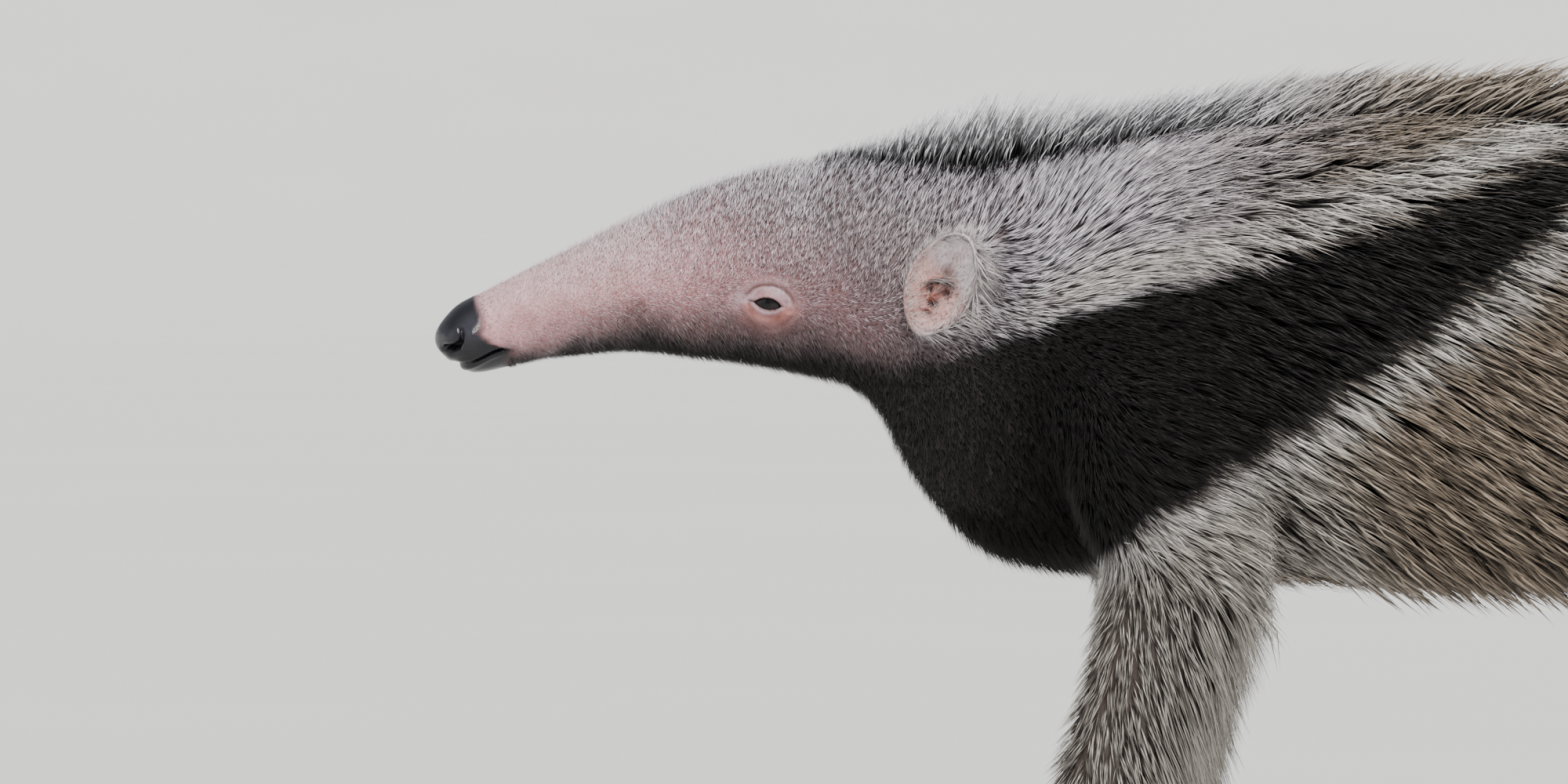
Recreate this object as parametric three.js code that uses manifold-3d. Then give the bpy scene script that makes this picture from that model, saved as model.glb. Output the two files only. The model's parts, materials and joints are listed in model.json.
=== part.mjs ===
// A young giant anteater, about six weeks old, standing still on four feet with its head level.
// Millimetres, +Z up, nose towards -X, left side towards -Y, floor at Z 0.
import * as THREE from "three";
import { mergeVertices } from "three/addons/utils/BufferGeometryUtils.js";
import Module from "manifold-3d";

const wasm = await Module();
wasm.setup();

// Driving dimensions. X is counted back from the tip of the nose until the group is centred.
const BODY_LENGTH = 468; // nose tip to the back of the rump
const GAP = 0.3; // between two pieces that meet
const NOSE_TIP_Z = 171.6;
const NOSE_ROUNDING = 8; // length over which the nose closes to its tip
const RUMP_ROUNDING = 34;
const TRUNK_CORNERS = 24;
const WELD = 1e-4;
const REACH = 1600; // larger than the whole animal
const STEP_LENGTH = 7; // how far each foot stands before or behind its pair's middle
const SOLE_SINK = 3; // how far each leg runs on below the floor before it is cut flat

// The planes that part the trunk. Each turn tips the plane's top back, in degrees.
const NOSE_CUT = { x: 11, z: 176, turn: -9 };
const SNOUT_CUT = { x: 75, z: 187, turn: 8 };
const NECK_CUT = { x: 132, z: 187, turn: 6 };
const SHOULDER_CUT = { x: 190, z: 180, turn: 30 };
const RUMP_CUT = { x: 452, z: 170, turn: 28 };
const ELBOW_CUT = { x: 195, z: 118, turn: 84 };
const WRIST_CUT = { x: 184, z: 36, turn: 84 };
const KNEE_CUT = { x: 386, z: 100, turn: 96 };
const HOCK_CUT = { x: 402, z: 32, turn: 92 };

// Colours
const SKIN = "#b59a92";
const GREY = "#8f8a88";
const DARK = "#3a322e";
const BLACK = "#17161a";
const PALE = "#b9b0a6";
const HORN = "#4a433c";

// The trunk's side outline and width, from the nose back to the rump.
const TRUNK = [
  { x: 0, top: 178.2, bottom: 165.6, half: 7.4, widest: 171 },
  { x: 5.5, top: 180.4, bottom: 165.0, half: 8.4, widest: 171.5 },
  { x: 10.5, top: 182.9, bottom: 162.8, half: 9.0, widest: 172 },
  { x: 20, top: 187.8, bottom: 164.2, half: 10.4, widest: 175 },
  { x: 30.5, top: 193.0, bottom: 166.7, half: 11.8, widest: 178.5 },
  { x: 51.5, top: 203.3, bottom: 169.0, half: 15.6, widest: 184 },
  { x: 72.5, top: 212.9, bottom: 166.8, half: 20.0, widest: 187 },
  { x: 89, top: 218.6, bottom: 164.5, half: 23.4, widest: 188 },
  { x: 104, top: 221.8, bottom: 161.0, half: 26.4, widest: 188 },
  { x: 114, top: 223.0, bottom: 157.0, half: 28.4, widest: 187 },
  { x: 121, top: 223.3, bottom: 149.0, half: 29.6, widest: 185 },
  { x: 129, top: 223.6, bottom: 133.0, half: 31.0, widest: 180 },
  { x: 141, top: 224.2, bottom: 119.0, half: 34.0, widest: 174 },
  { x: 160, top: 226.0, bottom: 110.0, half: 39.0, widest: 168 },
  { x: 190, top: 230.0, bottom: 105.0, half: 44.5, widest: 164 },
  { x: 235, top: 232.5, bottom: 102.0, half: 48.0, widest: 160 },
  { x: 285, top: 230.5, bottom: 100.0, half: 50.0, widest: 157 },
  { x: 330, top: 225.0, bottom: 104.0, half: 49.5, widest: 158 },
  { x: 375, top: 216.0, bottom: 114.0, half: 47.0, widest: 162 },
  { x: 415, top: 204.0, bottom: 127.0, half: 41.0, widest: 166 },
  { x: 445, top: 192.0, bottom: 140.0, half: 31.0, widest: 168 },
  { x: BODY_LENGTH, top: 184.0, bottom: 150.0, half: 24.0, widest: 167 },
];

// Geometry

// Random draws, the same in every run.
function drawsFrom(seed) {
  let state = seed;
  return () => {
    state = (Math.imul(state, 1664525) + 1013904223) >>> 0;
    return state / 4294967296;
  };
}

// A smooth curve through the stations' values, read at any x.
function valueAt(stations, key, x) {
  const last = stations.length - 1;
  let i = 0;
  while (i < last - 1 && stations[i + 1].x < x) i++;
  const slope = (k) => {
    const before = stations[Math.max(0, k - 1)];
    const after = stations[Math.min(last, k + 1)];
    return (after[key] - before[key]) / (after.x - before.x);
  };
  const a = stations[i];
  const b = stations[i + 1];
  const span = b.x - a.x;
  const t = THREE.MathUtils.clamp((x - a.x) / span, 0, 1);
  return (
    a[key] * (2 * t ** 3 - 3 * t ** 2 + 1) +
    slope(i) * span * (t ** 3 - 2 * t ** 2 + t) +
    b[key] * (3 * t ** 2 - 2 * t ** 3) +
    slope(i + 1) * span * (t ** 3 - t ** 2)
  );
}

// A closed skin through rings of corners, drawn to a point at each end.
function tube(rings, startPoint, endPoint) {
  const corners = rings[0].length;
  const lastRing = rings.length - 1;
  const middleOf = (ring) =>
    ring.reduce((sum, p) => sum.add(p), new THREE.Vector3()).divideScalar(corners);
  const start = startPoint ?? middleOf(rings[0]);
  const end = endPoint ?? middleOf(rings[lastRing]);
  const points = [...rings.flat(), start, end];
  const faces = [];
  const at = (ring, corner) => ring * corners + (corner % corners);
  for (let r = 0; r < lastRing; r++)
    for (let c = 0; c < corners; c++) {
      faces.push(at(r, c), at(r, c + 1), at(r + 1, c + 1));
      faces.push(at(r, c), at(r + 1, c + 1), at(r + 1, c));
    }
  for (let c = 0; c < corners; c++) {
    faces.push(points.length - 2, at(0, c + 1), at(0, c));
    faces.push(points.length - 1, at(lastRing, c), at(lastRing, c + 1));
  }
  return solidOf(new THREE.BufferGeometry().setFromPoints(points).setIndex(faces));
}

// An ellipse of corners round a middle, turning from the first half axis to the second.
function ellipse(middle, first, second, corners) {
  const ring = [];
  for (let c = 0; c < corners; c++) {
    const turn = (2 * Math.PI * c) / corners;
    ring.push(
      middle
        .clone()
        .addScaledVector(first, Math.cos(turn))
        .addScaledVector(second, Math.sin(turn)),
    );
  }
  return ring;
}

function solidOf(geometry) {
  const bare = geometry.clone();
  bare.deleteAttribute("normal");
  bare.deleteAttribute("uv");
  const merged = mergeVertices(bare, WELD);
  return new wasm.Manifold(
    new wasm.Mesh({
      numProp: 3,
      vertProperties: new Float32Array(merged.attributes.position.array),
      triVerts: new Uint32Array(merged.index.array),
    }),
  );
}

function geometryOf(solid) {
  const mesh = solid.getMesh();
  const geometry = new THREE.BufferGeometry();
  geometry.setAttribute("position", new THREE.BufferAttribute(mesh.vertProperties, 3));
  geometry.setIndex(new THREE.BufferAttribute(mesh.triVerts, 1));
  return geometry;
}

function joined(solids) {
  return solids.reduce((whole, piece) => whole.add(piece));
}

function largest(solid) {
  return solid.decompose().reduce((a, b) => (b.volume() > a.volume() ? b : a));
}

// All space before or behind a cut, half a gap clear of it.
function spaceAt(cut, before) {
  const side = before ? -1 : 1;
  const box = new THREE.BoxGeometry(REACH, REACH, REACH);
  box.translate((side * (REACH + GAP)) / 2, 0, 0);
  box.rotateY(THREE.MathUtils.degToRad(cut.turn));
  box.translate(cut.x, 0, cut.z);
  return solidOf(box);
}

function between(solid, front, back) {
  let piece = solid;
  if (front) piece = piece.intersect(spaceAt(front, false));
  if (back) piece = piece.intersect(spaceAt(back, true));
  return piece;
}

function aboveFloor(solid) {
  const block = new THREE.BoxGeometry(REACH, REACH, REACH);
  block.translate(0, 0, REACH / 2);
  return solid.intersect(solidOf(block));
}

function ball(middle, size, corners = 12) {
  const sphere = new THREE.SphereGeometry(1, corners, Math.round(corners * 0.6));
  sphere.rotateX(Math.PI / 2);
  sphere.scale(size.x, size.y, size.z);
  sphere.translate(middle.x, middle.y, middle.z);
  return solidOf(sphere);
}

// Trunk

// The trunk's section at x, closed to a round tip at the nose and at the rump.
function sectionAt(x) {
  const noseShare = THREE.MathUtils.clamp(1 - x / NOSE_ROUNDING, 0, 1);
  const rumpShare = THREE.MathUtils.clamp(1 - (BODY_LENGTH - x) / RUMP_ROUNDING, 0, 1);
  const closing = Math.sqrt(1 - noseShare ** 2) * Math.sqrt(1 - rumpShare ** 2);
  const middle = THREE.MathUtils.lerp(valueAt(TRUNK, "widest", x), NOSE_TIP_Z, noseShare);
  return {
    middle,
    up: (valueAt(TRUNK, "top", x) - middle) * closing,
    down: (middle - valueAt(TRUNK, "bottom", x)) * closing,
    half: valueAt(TRUNK, "half", x) * closing,
  };
}

// A point of the trunk's surface at x, turned from the right side (0) over the back (90).
function onTrunk(x, degrees, lift = 0) {
  const section = sectionAt(x);
  const turn = THREE.MathUtils.degToRad(degrees);
  const height = Math.sin(turn) > 0 ? section.up : section.down;
  return new THREE.Vector3(
    x,
    (section.half + lift) * Math.cos(turn),
    section.middle + (height + lift) * Math.sin(turn),
  );
}

function trunkSolid(grow = 0) {
  const steps = [0.25, 1.2, 3, 5.4];
  for (let x = NOSE_ROUNDING; x < 132; x += 5.4) steps.push(x);
  for (let x = 137; x < BODY_LENGTH - RUMP_ROUNDING; x += 15.6) steps.push(x);
  for (const share of [0, 0.4, 0.72, 0.92, 0.99])
    steps.push(BODY_LENGTH - RUMP_ROUNDING * (1 - share));
  const rings = steps.map((x) => {
    const ring = [];
    for (let c = 0; c < TRUNK_CORNERS; c++) {
      ring.push(onTrunk(x, (360 * c) / TRUNK_CORNERS, grow));
    }
    return ring;
  });
  return tube(rings, new THREE.Vector3(-grow, 0, NOSE_TIP_Z));
}

// A limb follows a path of joints, each with its half size fore and aft and across.
function limb(joints, side, corners, steps, grow = 0) {
  const path = new THREE.CatmullRomCurve3(
    joints.map((j) => new THREE.Vector3(j.x, side * j.y, j.z)),
    false,
    "catmullrom",
  );
  const sizes = joints.map((j, i) => ({ ...j, x: i / (joints.length - 1) }));
  const rings = [];
  for (let s = 0; s <= steps; s++) {
    const t = s / steps;
    const along = path.getTangent(t);
    const across = new THREE.Vector3(0, 1, 0).addScaledVector(along, -along.y).normalize();
    const fore = new THREE.Vector3().crossVectors(along, across);
    across.multiplyScalar(valueAt(sizes, "across", t) + grow);
    fore.multiplyScalar(valueAt(sizes, "fore", t) + grow);
    rings.push(ellipse(path.getPoint(t), across, fore, corners));
  }
  return tube(rings);
}

// Eyes and lids

const EYE = new THREE.Vector3(89.2, 18.9, 181); // centre of the right eyeball
const EYE_RADIUS = 4.6;
const LID_THICKNESS = 1;
const EYE_OPENING = { length: 10.2, height: 4.2, slope: -0.17, depth: 14 };
const ORBIT = { radius: 6.4, thick: 1.7, out: 2.0, turn: -0.16 };

function eyeBall(side, radius) {
  const middle = new THREE.Vector3(EYE.x, side * EYE.y, EYE.z);
  return ball(middle, new THREE.Vector3(radius, radius, radius), 14);
}

// The almond between the lids, cut from the outside in to the middle of the eyeball.
function lidOpening(side) {
  const { length, height, slope, depth } = EYE_OPENING;
  const almond = new THREE.Shape();
  almond.moveTo(-length / 2, 0);
  almond.quadraticCurveTo(0, height, length / 2, 0);
  almond.quadraticCurveTo(0, -height, -length / 2, 0);
  const prism = new THREE.ExtrudeGeometry(almond, {
    depth,
    bevelEnabled: false,
    curveSegments: 5,
  });
  prism.rotateZ(slope);
  prism.rotateX(Math.PI / 2);
  prism.translate(EYE.x, side > 0 ? EYE.y + depth : -EYE.y, EYE.z);
  return solidOf(prism);
}

// The low roll of skin round the lids.
function orbit(side) {
  const roll = new THREE.TorusGeometry(ORBIT.radius, ORBIT.thick, 6, 16);
  roll.scale(1.12, 0.92, 1);
  roll.rotateZ(EYE_OPENING.slope);
  roll.rotateX(Math.PI / 2);
  roll.rotateZ(side * ORBIT.turn);
  roll.translate(EYE.x, side * (EYE.y + ORBIT.out), EYE.z);
  return solidOf(roll);
}

// Nose and mouth

const MOUTH_WIDTH = 60;
const MOUTH_GAP = 0.6;
// The line of the mouth from its front to its corner, as X and Z.
const MOUTH_LINE = [
  [5.2, 165.6],
  [9.2, 165.4],
  [12, 166.2],
  [14.7, 167.5],
  [17.6, 168.6],
  [21, 168.8],
];

// The comma of each nostril, from its upper slit down to its opening in front.
function nostril(side) {
  return limb(
    [
      { x: 7.6, y: 8.4, z: 174.6, fore: 0.5, across: 1.6 },
      { x: 6.8, y: 8.2, z: 171.8, fore: 0.8, across: 2.0 },
      { x: 4.9, y: 7.4, z: 169.6, fore: 1.1, across: 2.2 },
      { x: 2.2, y: 5.8, z: 169.2, fore: 0.9, across: 2.0 },
    ],
    side,
    6,
    5,
  );
}

// All that lies below the line of the mouth, raised by a gap where the upper lip is cut.
function jawSpace(gap) {
  const line = MOUTH_LINE.map(([x, z], i) =>
    i === MOUTH_LINE.length - 1 ? [x + gap, z + gap] : [x, z + gap],
  );
  const corner = line[line.length - 1][0];
  const front = MOUTH_LINE[0][0] - gap;
  const below = 150;
  const outline = [[front, line[0][1]], ...line, [corner, below], [front, below]];
  const shape = new THREE.Shape(outline.map(([x, z]) => new THREE.Vector2(x, z)));
  const prism = new THREE.ExtrudeGeometry(shape, { depth: MOUTH_WIDTH, bevelEnabled: false });
  prism.rotateX(Math.PI / 2);
  prism.translate(0, MOUTH_WIDTH / 2, 0);
  return solidOf(prism);
}

// Ears

const EAR = { x: 135, y: 34, z: 186.5 }; // middle of the right ear's rim
const EAR_HALF_WIDTH = 10.2;
const EAR_HALF_HEIGHT = 15;
const EAR_DEPTH = 12;
const EAR_WALL = 1.6;
const EAR_FORWARD = 0.36; // how far the cup is turned forwards, in radians
const EAR_TIP_BACK = 0.5; // how far its tip leans back

// A shallow round cup, its mouth outwards and a little forwards.
function ear(side) {
  const profile = [];
  const steps = 5;
  const arc = (radius, depth, i) => {
    const turn = (Math.PI / 2) * (i / steps);
    return new THREE.Vector2(radius * Math.sin(turn), -depth * Math.cos(turn));
  };
  const rim = 1 - EAR_WALL / EAR_HALF_WIDTH;
  for (let i = 0; i <= steps; i++) profile.push(arc(1, 1, i));
  for (let i = steps; i >= 0; i--) profile.push(arc(rim, 1 - EAR_WALL / EAR_DEPTH, i));
  const cup = new THREE.LatheGeometry(profile, 16);
  cup.scale(EAR_HALF_WIDTH, EAR_DEPTH, EAR_HALF_HEIGHT);
  cup.rotateY(EAR_TIP_BACK);
  if (side < 0) cup.rotateZ(Math.PI);
  if (side < 0) cup.rotateY(2 * EAR_TIP_BACK);
  cup.rotateZ(side * EAR_FORWARD);
  cup.translate(EAR.x, side * EAR.y, EAR.z);
  return solidOf(cup);
}

// Legs

const HAND_X = 178; // middle of the palm
const HAND_Y = 37;

function foreLimb(side, grow = 0) {
  const step = side * STEP_LENGTH;
  const joints = [
    { x: 190, y: 22, z: 184, fore: 14, across: 6 },
    { x: 189, y: 29, z: 170, fore: 26, across: 16 },
    { x: 190, y: 35, z: 145, fore: 28, across: 21 },
    { x: 197, y: 38, z: 114, fore: 24, across: 21 },
    { x: 192 + step / 2, y: 38, z: 80, fore: 20, across: 19 },
    { x: HAND_X + 6 + step, y: 38, z: 46, fore: 16, across: 15 },
    { x: HAND_X + 1 + step, y: HAND_Y, z: 20, fore: 17.5, across: 15.5 },
    { x: HAND_X + step, y: HAND_Y, z: -SOLE_SINK, fore: 16, across: 14 },
  ];
  return limb(joints, side, 12, 11, grow);
}

// Toes of the hand from the inside out, from the middle of the palm, with each knuckle's size.
const HAND_TOES = [
  { x: 2, y: -13, z: 18, size: 4 },
  { x: -9, y: -10.5, z: 14, size: 5.4 },
  { x: -14, y: -5, z: 9.5, size: 6 },
  { x: -12.5, y: 4.5, z: 9, size: 5.2 },
];

function handToes(side, grow = 0) {
  return HAND_TOES.map(({ x, y, z, size }) => {
    const middle = new THREE.Vector3(HAND_X + x + side * STEP_LENGTH, side * (HAND_Y + y), z);
    const radius = size + grow;
    return ball(middle, new THREE.Vector3(radius, radius, radius), 7);
  });
}

function hindLimb(side, grow = 0) {
  const step = -side * STEP_LENGTH;
  const joints = [
    { x: 402, y: 18, z: 180, fore: 16, across: 6 },
    { x: 398, y: 25, z: 166, fore: 35, across: 18 },
    { x: 392, y: 32, z: 138, fore: 37, across: 23 },
    { x: 386, y: 36, z: 106, fore: 29, across: 22 },
    { x: 393 + step / 2, y: 37, z: 74, fore: 21, across: 18.5 },
    { x: 402 + step, y: 36, z: 42, fore: 16, across: 14.5 },
    { x: 403 + step, y: 36, z: 16, fore: 15, across: 13.5 },
    { x: 402 + step, y: 36, z: -SOLE_SINK, fore: 14, across: 12.5 },
  ];
  return limb(joints, side, 12, 11, grow);
}

// The long sole of the hind foot, from the heel forwards to the toes.
function hindSole(side, grow = 0) {
  const step = -side * STEP_LENGTH;
  const joints = [
    { x: 420 + step, y: 36, z: 8, fore: 6, across: 7 },
    { x: 408 + step, y: 36, z: 9, fore: 12, across: 12 },
    { x: 388 + step, y: 36, z: 9, fore: 12, across: 13.5 },
    { x: 369 + step, y: 36, z: 6.5, fore: 9.5, across: 14.5 },
    { x: 357 + step, y: 36, z: 5, fore: 5.5, across: 13 },
  ];
  const toes = [0, 1, 2, 3, 4].map((toe) =>
    ball(hindToe(side, toe), new THREE.Vector3(7 + grow, 3.5 + grow, 5 + grow), 6),
  );
  return joined([limb(joints, side, 10, 6, grow), ...toes]);
}

function hindToe(side, toe) {
  const fan = toe - 2;
  const x = 356 - side * STEP_LENGTH + Math.abs(fan) * 1.8;
  return new THREE.Vector3(x, side * (36 + fan * 5.5), 4.6);
}

// Claws

// A horn drawn along a curve from a thick root to a fine tip.
function horn(points, thick, flatness) {
  const path = new THREE.CatmullRomCurve3(points);
  const steps = 4;
  const rings = [];
  for (let s = 0; s < steps; s++) {
    const t = s / steps;
    const along = path.getTangent(t);
    const across = new THREE.Vector3(along.y, -along.x, 0).normalize();
    const up = new THREE.Vector3().crossVectors(along, across);
    const size = thick * (1 - 0.75 * t ** 1.5);
    across.multiplyScalar(size * flatness);
    up.multiplyScalar(size);
    rings.push(ellipse(path.getPoint(t), across, up, 6));
  }
  return tube(rings, undefined, path.getPoint(1));
}

// The claws of the hand, folded inwards and back beside the palm, as the animal walks on
// its knuckles. The second and third are the great ones.
const HAND_CLAWS = [
  { thick: 1.8, path: [[2, -14, 17.5], [3.5, -18.4, 14.5], [8, -19.6, 10.5]] },
  { thick: 2.9, path: [[-8, -12, 14], [-9.5, -18.5, 11], [-4, -22.4, 7.6], [5, -23.4, 5.4]] },
  { thick: 3.3, path: [[-15, -6, 9.5], [-20, -12, 7.6], [-17, -19, 5], [-6, -22.4, 3.2]] },
  { thick: 2.3, path: [[-15, 3, 9], [-20.6, 0.6, 6.6], [-22, -4.4, 3.2]] },
];
const HIND_CLAWS = [0, 1, 2, 3, 4];
const FLATNESS = 0.72;

function handClaw(side, { path, thick }) {
  const points = path.map(
    ([x, y, z]) => new THREE.Vector3(HAND_X + x + side * STEP_LENGTH, side * (HAND_Y + y), z),
  );
  return horn(points, thick, FLATNESS);
}

function hindClaw(side, toe) {
  const at = hindToe(side, toe);
  const share = 1 - Math.abs(toe - 2) * 0.12;
  const point = (x, z) => new THREE.Vector3(at.x - x * share, at.y, z);
  return horn([point(1, 5), point(8.5, 5.2), point(14, 1.2)], 2.2 * share, FLATNESS);
}

// Coat

const LOCK_BREADTHS = [
  { t: 0, share: 0.9 },
  { t: 0.55, share: 1 },
];

// A flat lock that tapers from its sunk root to its tip, its flat side facing one way, bowed
// out on the way.
function lock({ root, tip, bow, facing, width, thickness }) {
  const path = new THREE.QuadraticBezierCurve3(root, root.clone().lerp(tip, 0.5).add(bow), tip);
  const rings = LOCK_BREADTHS.map(({ t, share }) => {
    const along = path.getTangent(t);
    const across = new THREE.Vector3().crossVectors(along, facing).normalize();
    const out = new THREE.Vector3().crossVectors(along, across);
    across.multiplyScalar((width / 2) * share);
    out.multiplyScalar((thickness / 2) * (1 - t / 2));
    return ellipse(path.getPoint(t), across, out, 4);
  });
  return tube(rings, undefined, tip);
}

// Height of the mane and crest over the short fur, and how far each lock runs back.
const CREST = [
  { x: 100, height: 1, run: 3 },
  { x: 118, height: 6, run: 4 },
  { x: 132, height: 12, run: 5 },
  { x: 146, height: 13.5, run: 7 },
  { x: 180, height: 10, run: 12 },
  { x: 230, height: 12.5, run: 17 },
  { x: 300, height: 15.5, run: 24 },
  { x: 370, height: 15, run: 28 },
  { x: 420, height: 11, run: 31 },
  { x: 470, height: 6, run: 33 },
];
const CREST_LEAN = 6; // degrees from the middle of the back to each row of locks
const ROOT_DEPTH = 4; // how far a root is sunk
const CORE_SHARE = 0.5; // how far the dense lower hair reaches towards the tips

// Two staggered rows of upright locks along the back.
function crestLocks(fromX, toX, { pitch, width, thickness }, seed) {
  const draw = drawsFrom(seed);
  const locks = [];
  const count = Math.round((toX - fromX) / pitch);
  for (let i = 0; i <= count; i++) {
    const side = i % 2 ? 1 : -1;
    const x = fromX + i * pitch;
    const run = valueAt(CREST, "run", x) * (0.85 + 0.3 * draw());
    const height = valueAt(CREST, "height", Math.min(x + run, 470)) * (0.88 + 0.18 * draw());
    const root = onTrunk(x, 90 + side * CREST_LEAN, -ROOT_DEPTH);
    const tip = onTrunk(x, 90).add(new THREE.Vector3(run, -side * 2, 0));
    tip.z = valueAt(TRUNK, "top", tip.x) + height;
    const bow = new THREE.Vector3(-0.1 * run, -side * 1.5, 0.12 * height);
    const facing = new THREE.Vector3(0, 1, 0);
    locks.push(lock({ root, tip, bow, facing, width, thickness }));
  }
  return joined(locks);
}

// The dense lower hair that the locks of the crest rise from.
function crestCore(fromX, toX, steps) {
  const rings = [];
  for (let s = 0; s <= steps; s++) {
    const x = THREE.MathUtils.lerp(fromX, toX, s / steps);
    const ends = Math.sin(Math.PI * THREE.MathUtils.lerp(0.06, 0.94, s / steps)) ** 0.3;
    const height = valueAt(CREST, "height", x) * CORE_SHARE * ends;
    const middle = onTrunk(x, 90).add(new THREE.Vector3(0, 0, -3));
    rings.push(
      ellipse(middle, new THREE.Vector3(0, 7 * ends, 0), new THREE.Vector3(0, 0, height + 3), 6),
    );
  }
  return tube(rings);
}

// The fringe that hangs along the lower flank, from the elbow back to the knee.
const FLANK = { from: 226, pitch: 19.4, count: 7, degrees: -38, drop: 25, run: 22, out: 7 };
const FLANK_LOCK = { width: 23, thickness: 4.4 };

function flankLocks(side, seed) {
  const draw = drawsFrom(seed);
  const locks = [];
  for (let i = 0; i < FLANK.count; i++) {
    const x = FLANK.from + i * FLANK.pitch;
    const degrees = side > 0 ? FLANK.degrees : 180 - FLANK.degrees;
    const root = onTrunk(x, degrees, -ROOT_DEPTH);
    const ends = 0.7 + 0.3 * Math.sin((Math.PI * (i + 0.5)) / FLANK.count);
    const drop = FLANK.drop * ends * (0.9 + 0.25 * draw());
    const tip = root.clone().add(new THREE.Vector3(FLANK.run, side * (FLANK.out + 2 * (i % 2)), -drop));
    const bow = new THREE.Vector3(0, side * 4, -3);
    locks.push(lock({ root, tip, bow, facing: new THREE.Vector3(0, side, 0.5), ...FLANK_LOCK }));
  }
  return joined(locks);
}

// The longer hair of the rump, over the root of the tail.
const RUMP = { from: 414, pitch: 14, degrees: [12, 52], run: 27, stand: 4 };
const RUMP_LOCK = { width: 22, thickness: 4.4 };

function rumpLocks(side, seed) {
  const draw = drawsFrom(seed);
  return joined(
    RUMP.degrees.map((above, i) => {
      const degrees = side > 0 ? above : 180 - above;
      const x = RUMP.from + i * RUMP.pitch;
      const out = onTrunk(x, degrees, 1).sub(onTrunk(x, degrees)).normalize();
      const root = onTrunk(x, degrees, -ROOT_DEPTH);
      const tip = onTrunk(x + RUMP.run * 0.6, degrees, RUMP.stand);
      tip.x = x + RUMP.run * (0.9 + 0.2 * draw());
      return lock({ root, tip, bow: out.clone().multiplyScalar(5), facing: out, ...RUMP_LOCK });
    }),
  );
}

// Locks on the hind edge of a limb's part, each given by its root's X, Y and Z.
const THIGH_LOCKS = [[420, 28, 146], [421, 35, 132], [414, 31, 117]];
const SHANK_LOCKS = [[405, 35, 90], [409, 38, 75], [410, 34, 60]];
const FOREARM_LOCKS = [[210, 36, 104], [206, 40, 87], [201, 36, 70]];
const LIMB_LOCK = { width: 18, thickness: 4.4 };
const LIMB_FALL = { back: 17, down: 21 };

function limbLocks(side, roots, seed) {
  const draw = drawsFrom(seed);
  return joined(
    roots.map(([x, y, z]) => {
      const root = new THREE.Vector3(x, side * y, z);
      const length = 0.9 + 0.25 * draw();
      const fall = new THREE.Vector3(LIMB_FALL.back, side, -LIMB_FALL.down);
      const tip = root.clone().addScaledVector(fall, length);
      const bow = new THREE.Vector3(4, side, 1);
      return lock({ root, tip, bow, facing: new THREE.Vector3(0, side, 0), ...LIMB_LOCK });
    }),
  );
}

// The tail's bone and flesh, and the plume that its hair makes round it.
const TAIL_START = 424;
const TAIL_END = 745;
const TAIL_CORE = [
  { x: TAIL_START, z: 168, up: 20, down: 20, half: 19 },
  { x: 458, z: 163, up: 21, down: 26, half: 20 },
  { x: 500, z: 153, up: 16, down: 29, half: 16 },
  { x: 560, z: 139, up: 13, down: 31, half: 13 },
  { x: 620, z: 125, up: 11, down: 29, half: 11 },
  { x: 670, z: 113, up: 8, down: 20, half: 8 },
  { x: 700, z: 105, up: 3, down: 7, half: 3 },
];
const PLUME = [
  { x: TAIL_START, z: 168, up: 20, down: 20, half: 20 },
  { x: 458, z: 163, up: 25, down: 36, half: 23 },
  { x: 500, z: 153, up: 29, down: 54, half: 26 },
  { x: 560, z: 139, up: 31, down: 68, half: 26 },
  { x: 620, z: 125, up: 30, down: 70, half: 23 },
  { x: 680, z: 110, up: 26, down: 58, half: 17 },
  { x: 725, z: 98, up: 17, down: 36, half: 9 },
  { x: TAIL_END, z: 92, up: 5, down: 12, half: 3 },
];
// Locks round one row of the plume: turn is where it grows, over the tail at 90 degrees.
const PLUME_LOCKS = [
  { turn: 90, run: 46, sway: 9, facing: [0, 0.25, 1] },
  { turn: 38, run: 50, sway: 8, facing: [0, 1, 0.8] },
  { turn: 142, run: 50, sway: -8, facing: [0, -1, 0.8] },
  { turn: -14, run: 52, sway: 8, facing: [0, 1, 0] },
  { turn: 194, run: 52, sway: -8, facing: [0, -1, 0] },
  { turn: -62, run: 48, sway: 7, facing: [0, 1, -0.3] },
  { turn: 242, run: 48, sway: -7, facing: [0, -1, -0.3] },
];
const PLUME_ROWS = 7;
const PLUME_FROM = 459;
const PLUME_TO = 690;
const PLUME_LOCK = { width: 29, thin: 13, thickness: 4.6, bow: 9 };

function aroundTail(profile, x, degrees, share = 1) {
  const turn = THREE.MathUtils.degToRad(degrees);
  const height = valueAt(profile, Math.sin(turn) > 0 ? "up" : "down", x) * share;
  return new THREE.Vector3(
    x,
    valueAt(profile, "half", x) * share * Math.cos(turn),
    valueAt(profile, "z", x) + height * Math.sin(turn),
  );
}

function tailCore() {
  const rings = [];
  const steps = 10;
  const corners = 12;
  const end = TAIL_CORE[TAIL_CORE.length - 1].x;
  for (let s = 0; s <= steps; s++) {
    const x = THREE.MathUtils.lerp(TAIL_START, end, s / steps);
    const ring = [];
    for (let c = 0; c < corners; c++) ring.push(aroundTail(TAIL_CORE, x, (360 * c) / corners));
    rings.push(ring);
  }
  return tube(rings);
}

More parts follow.
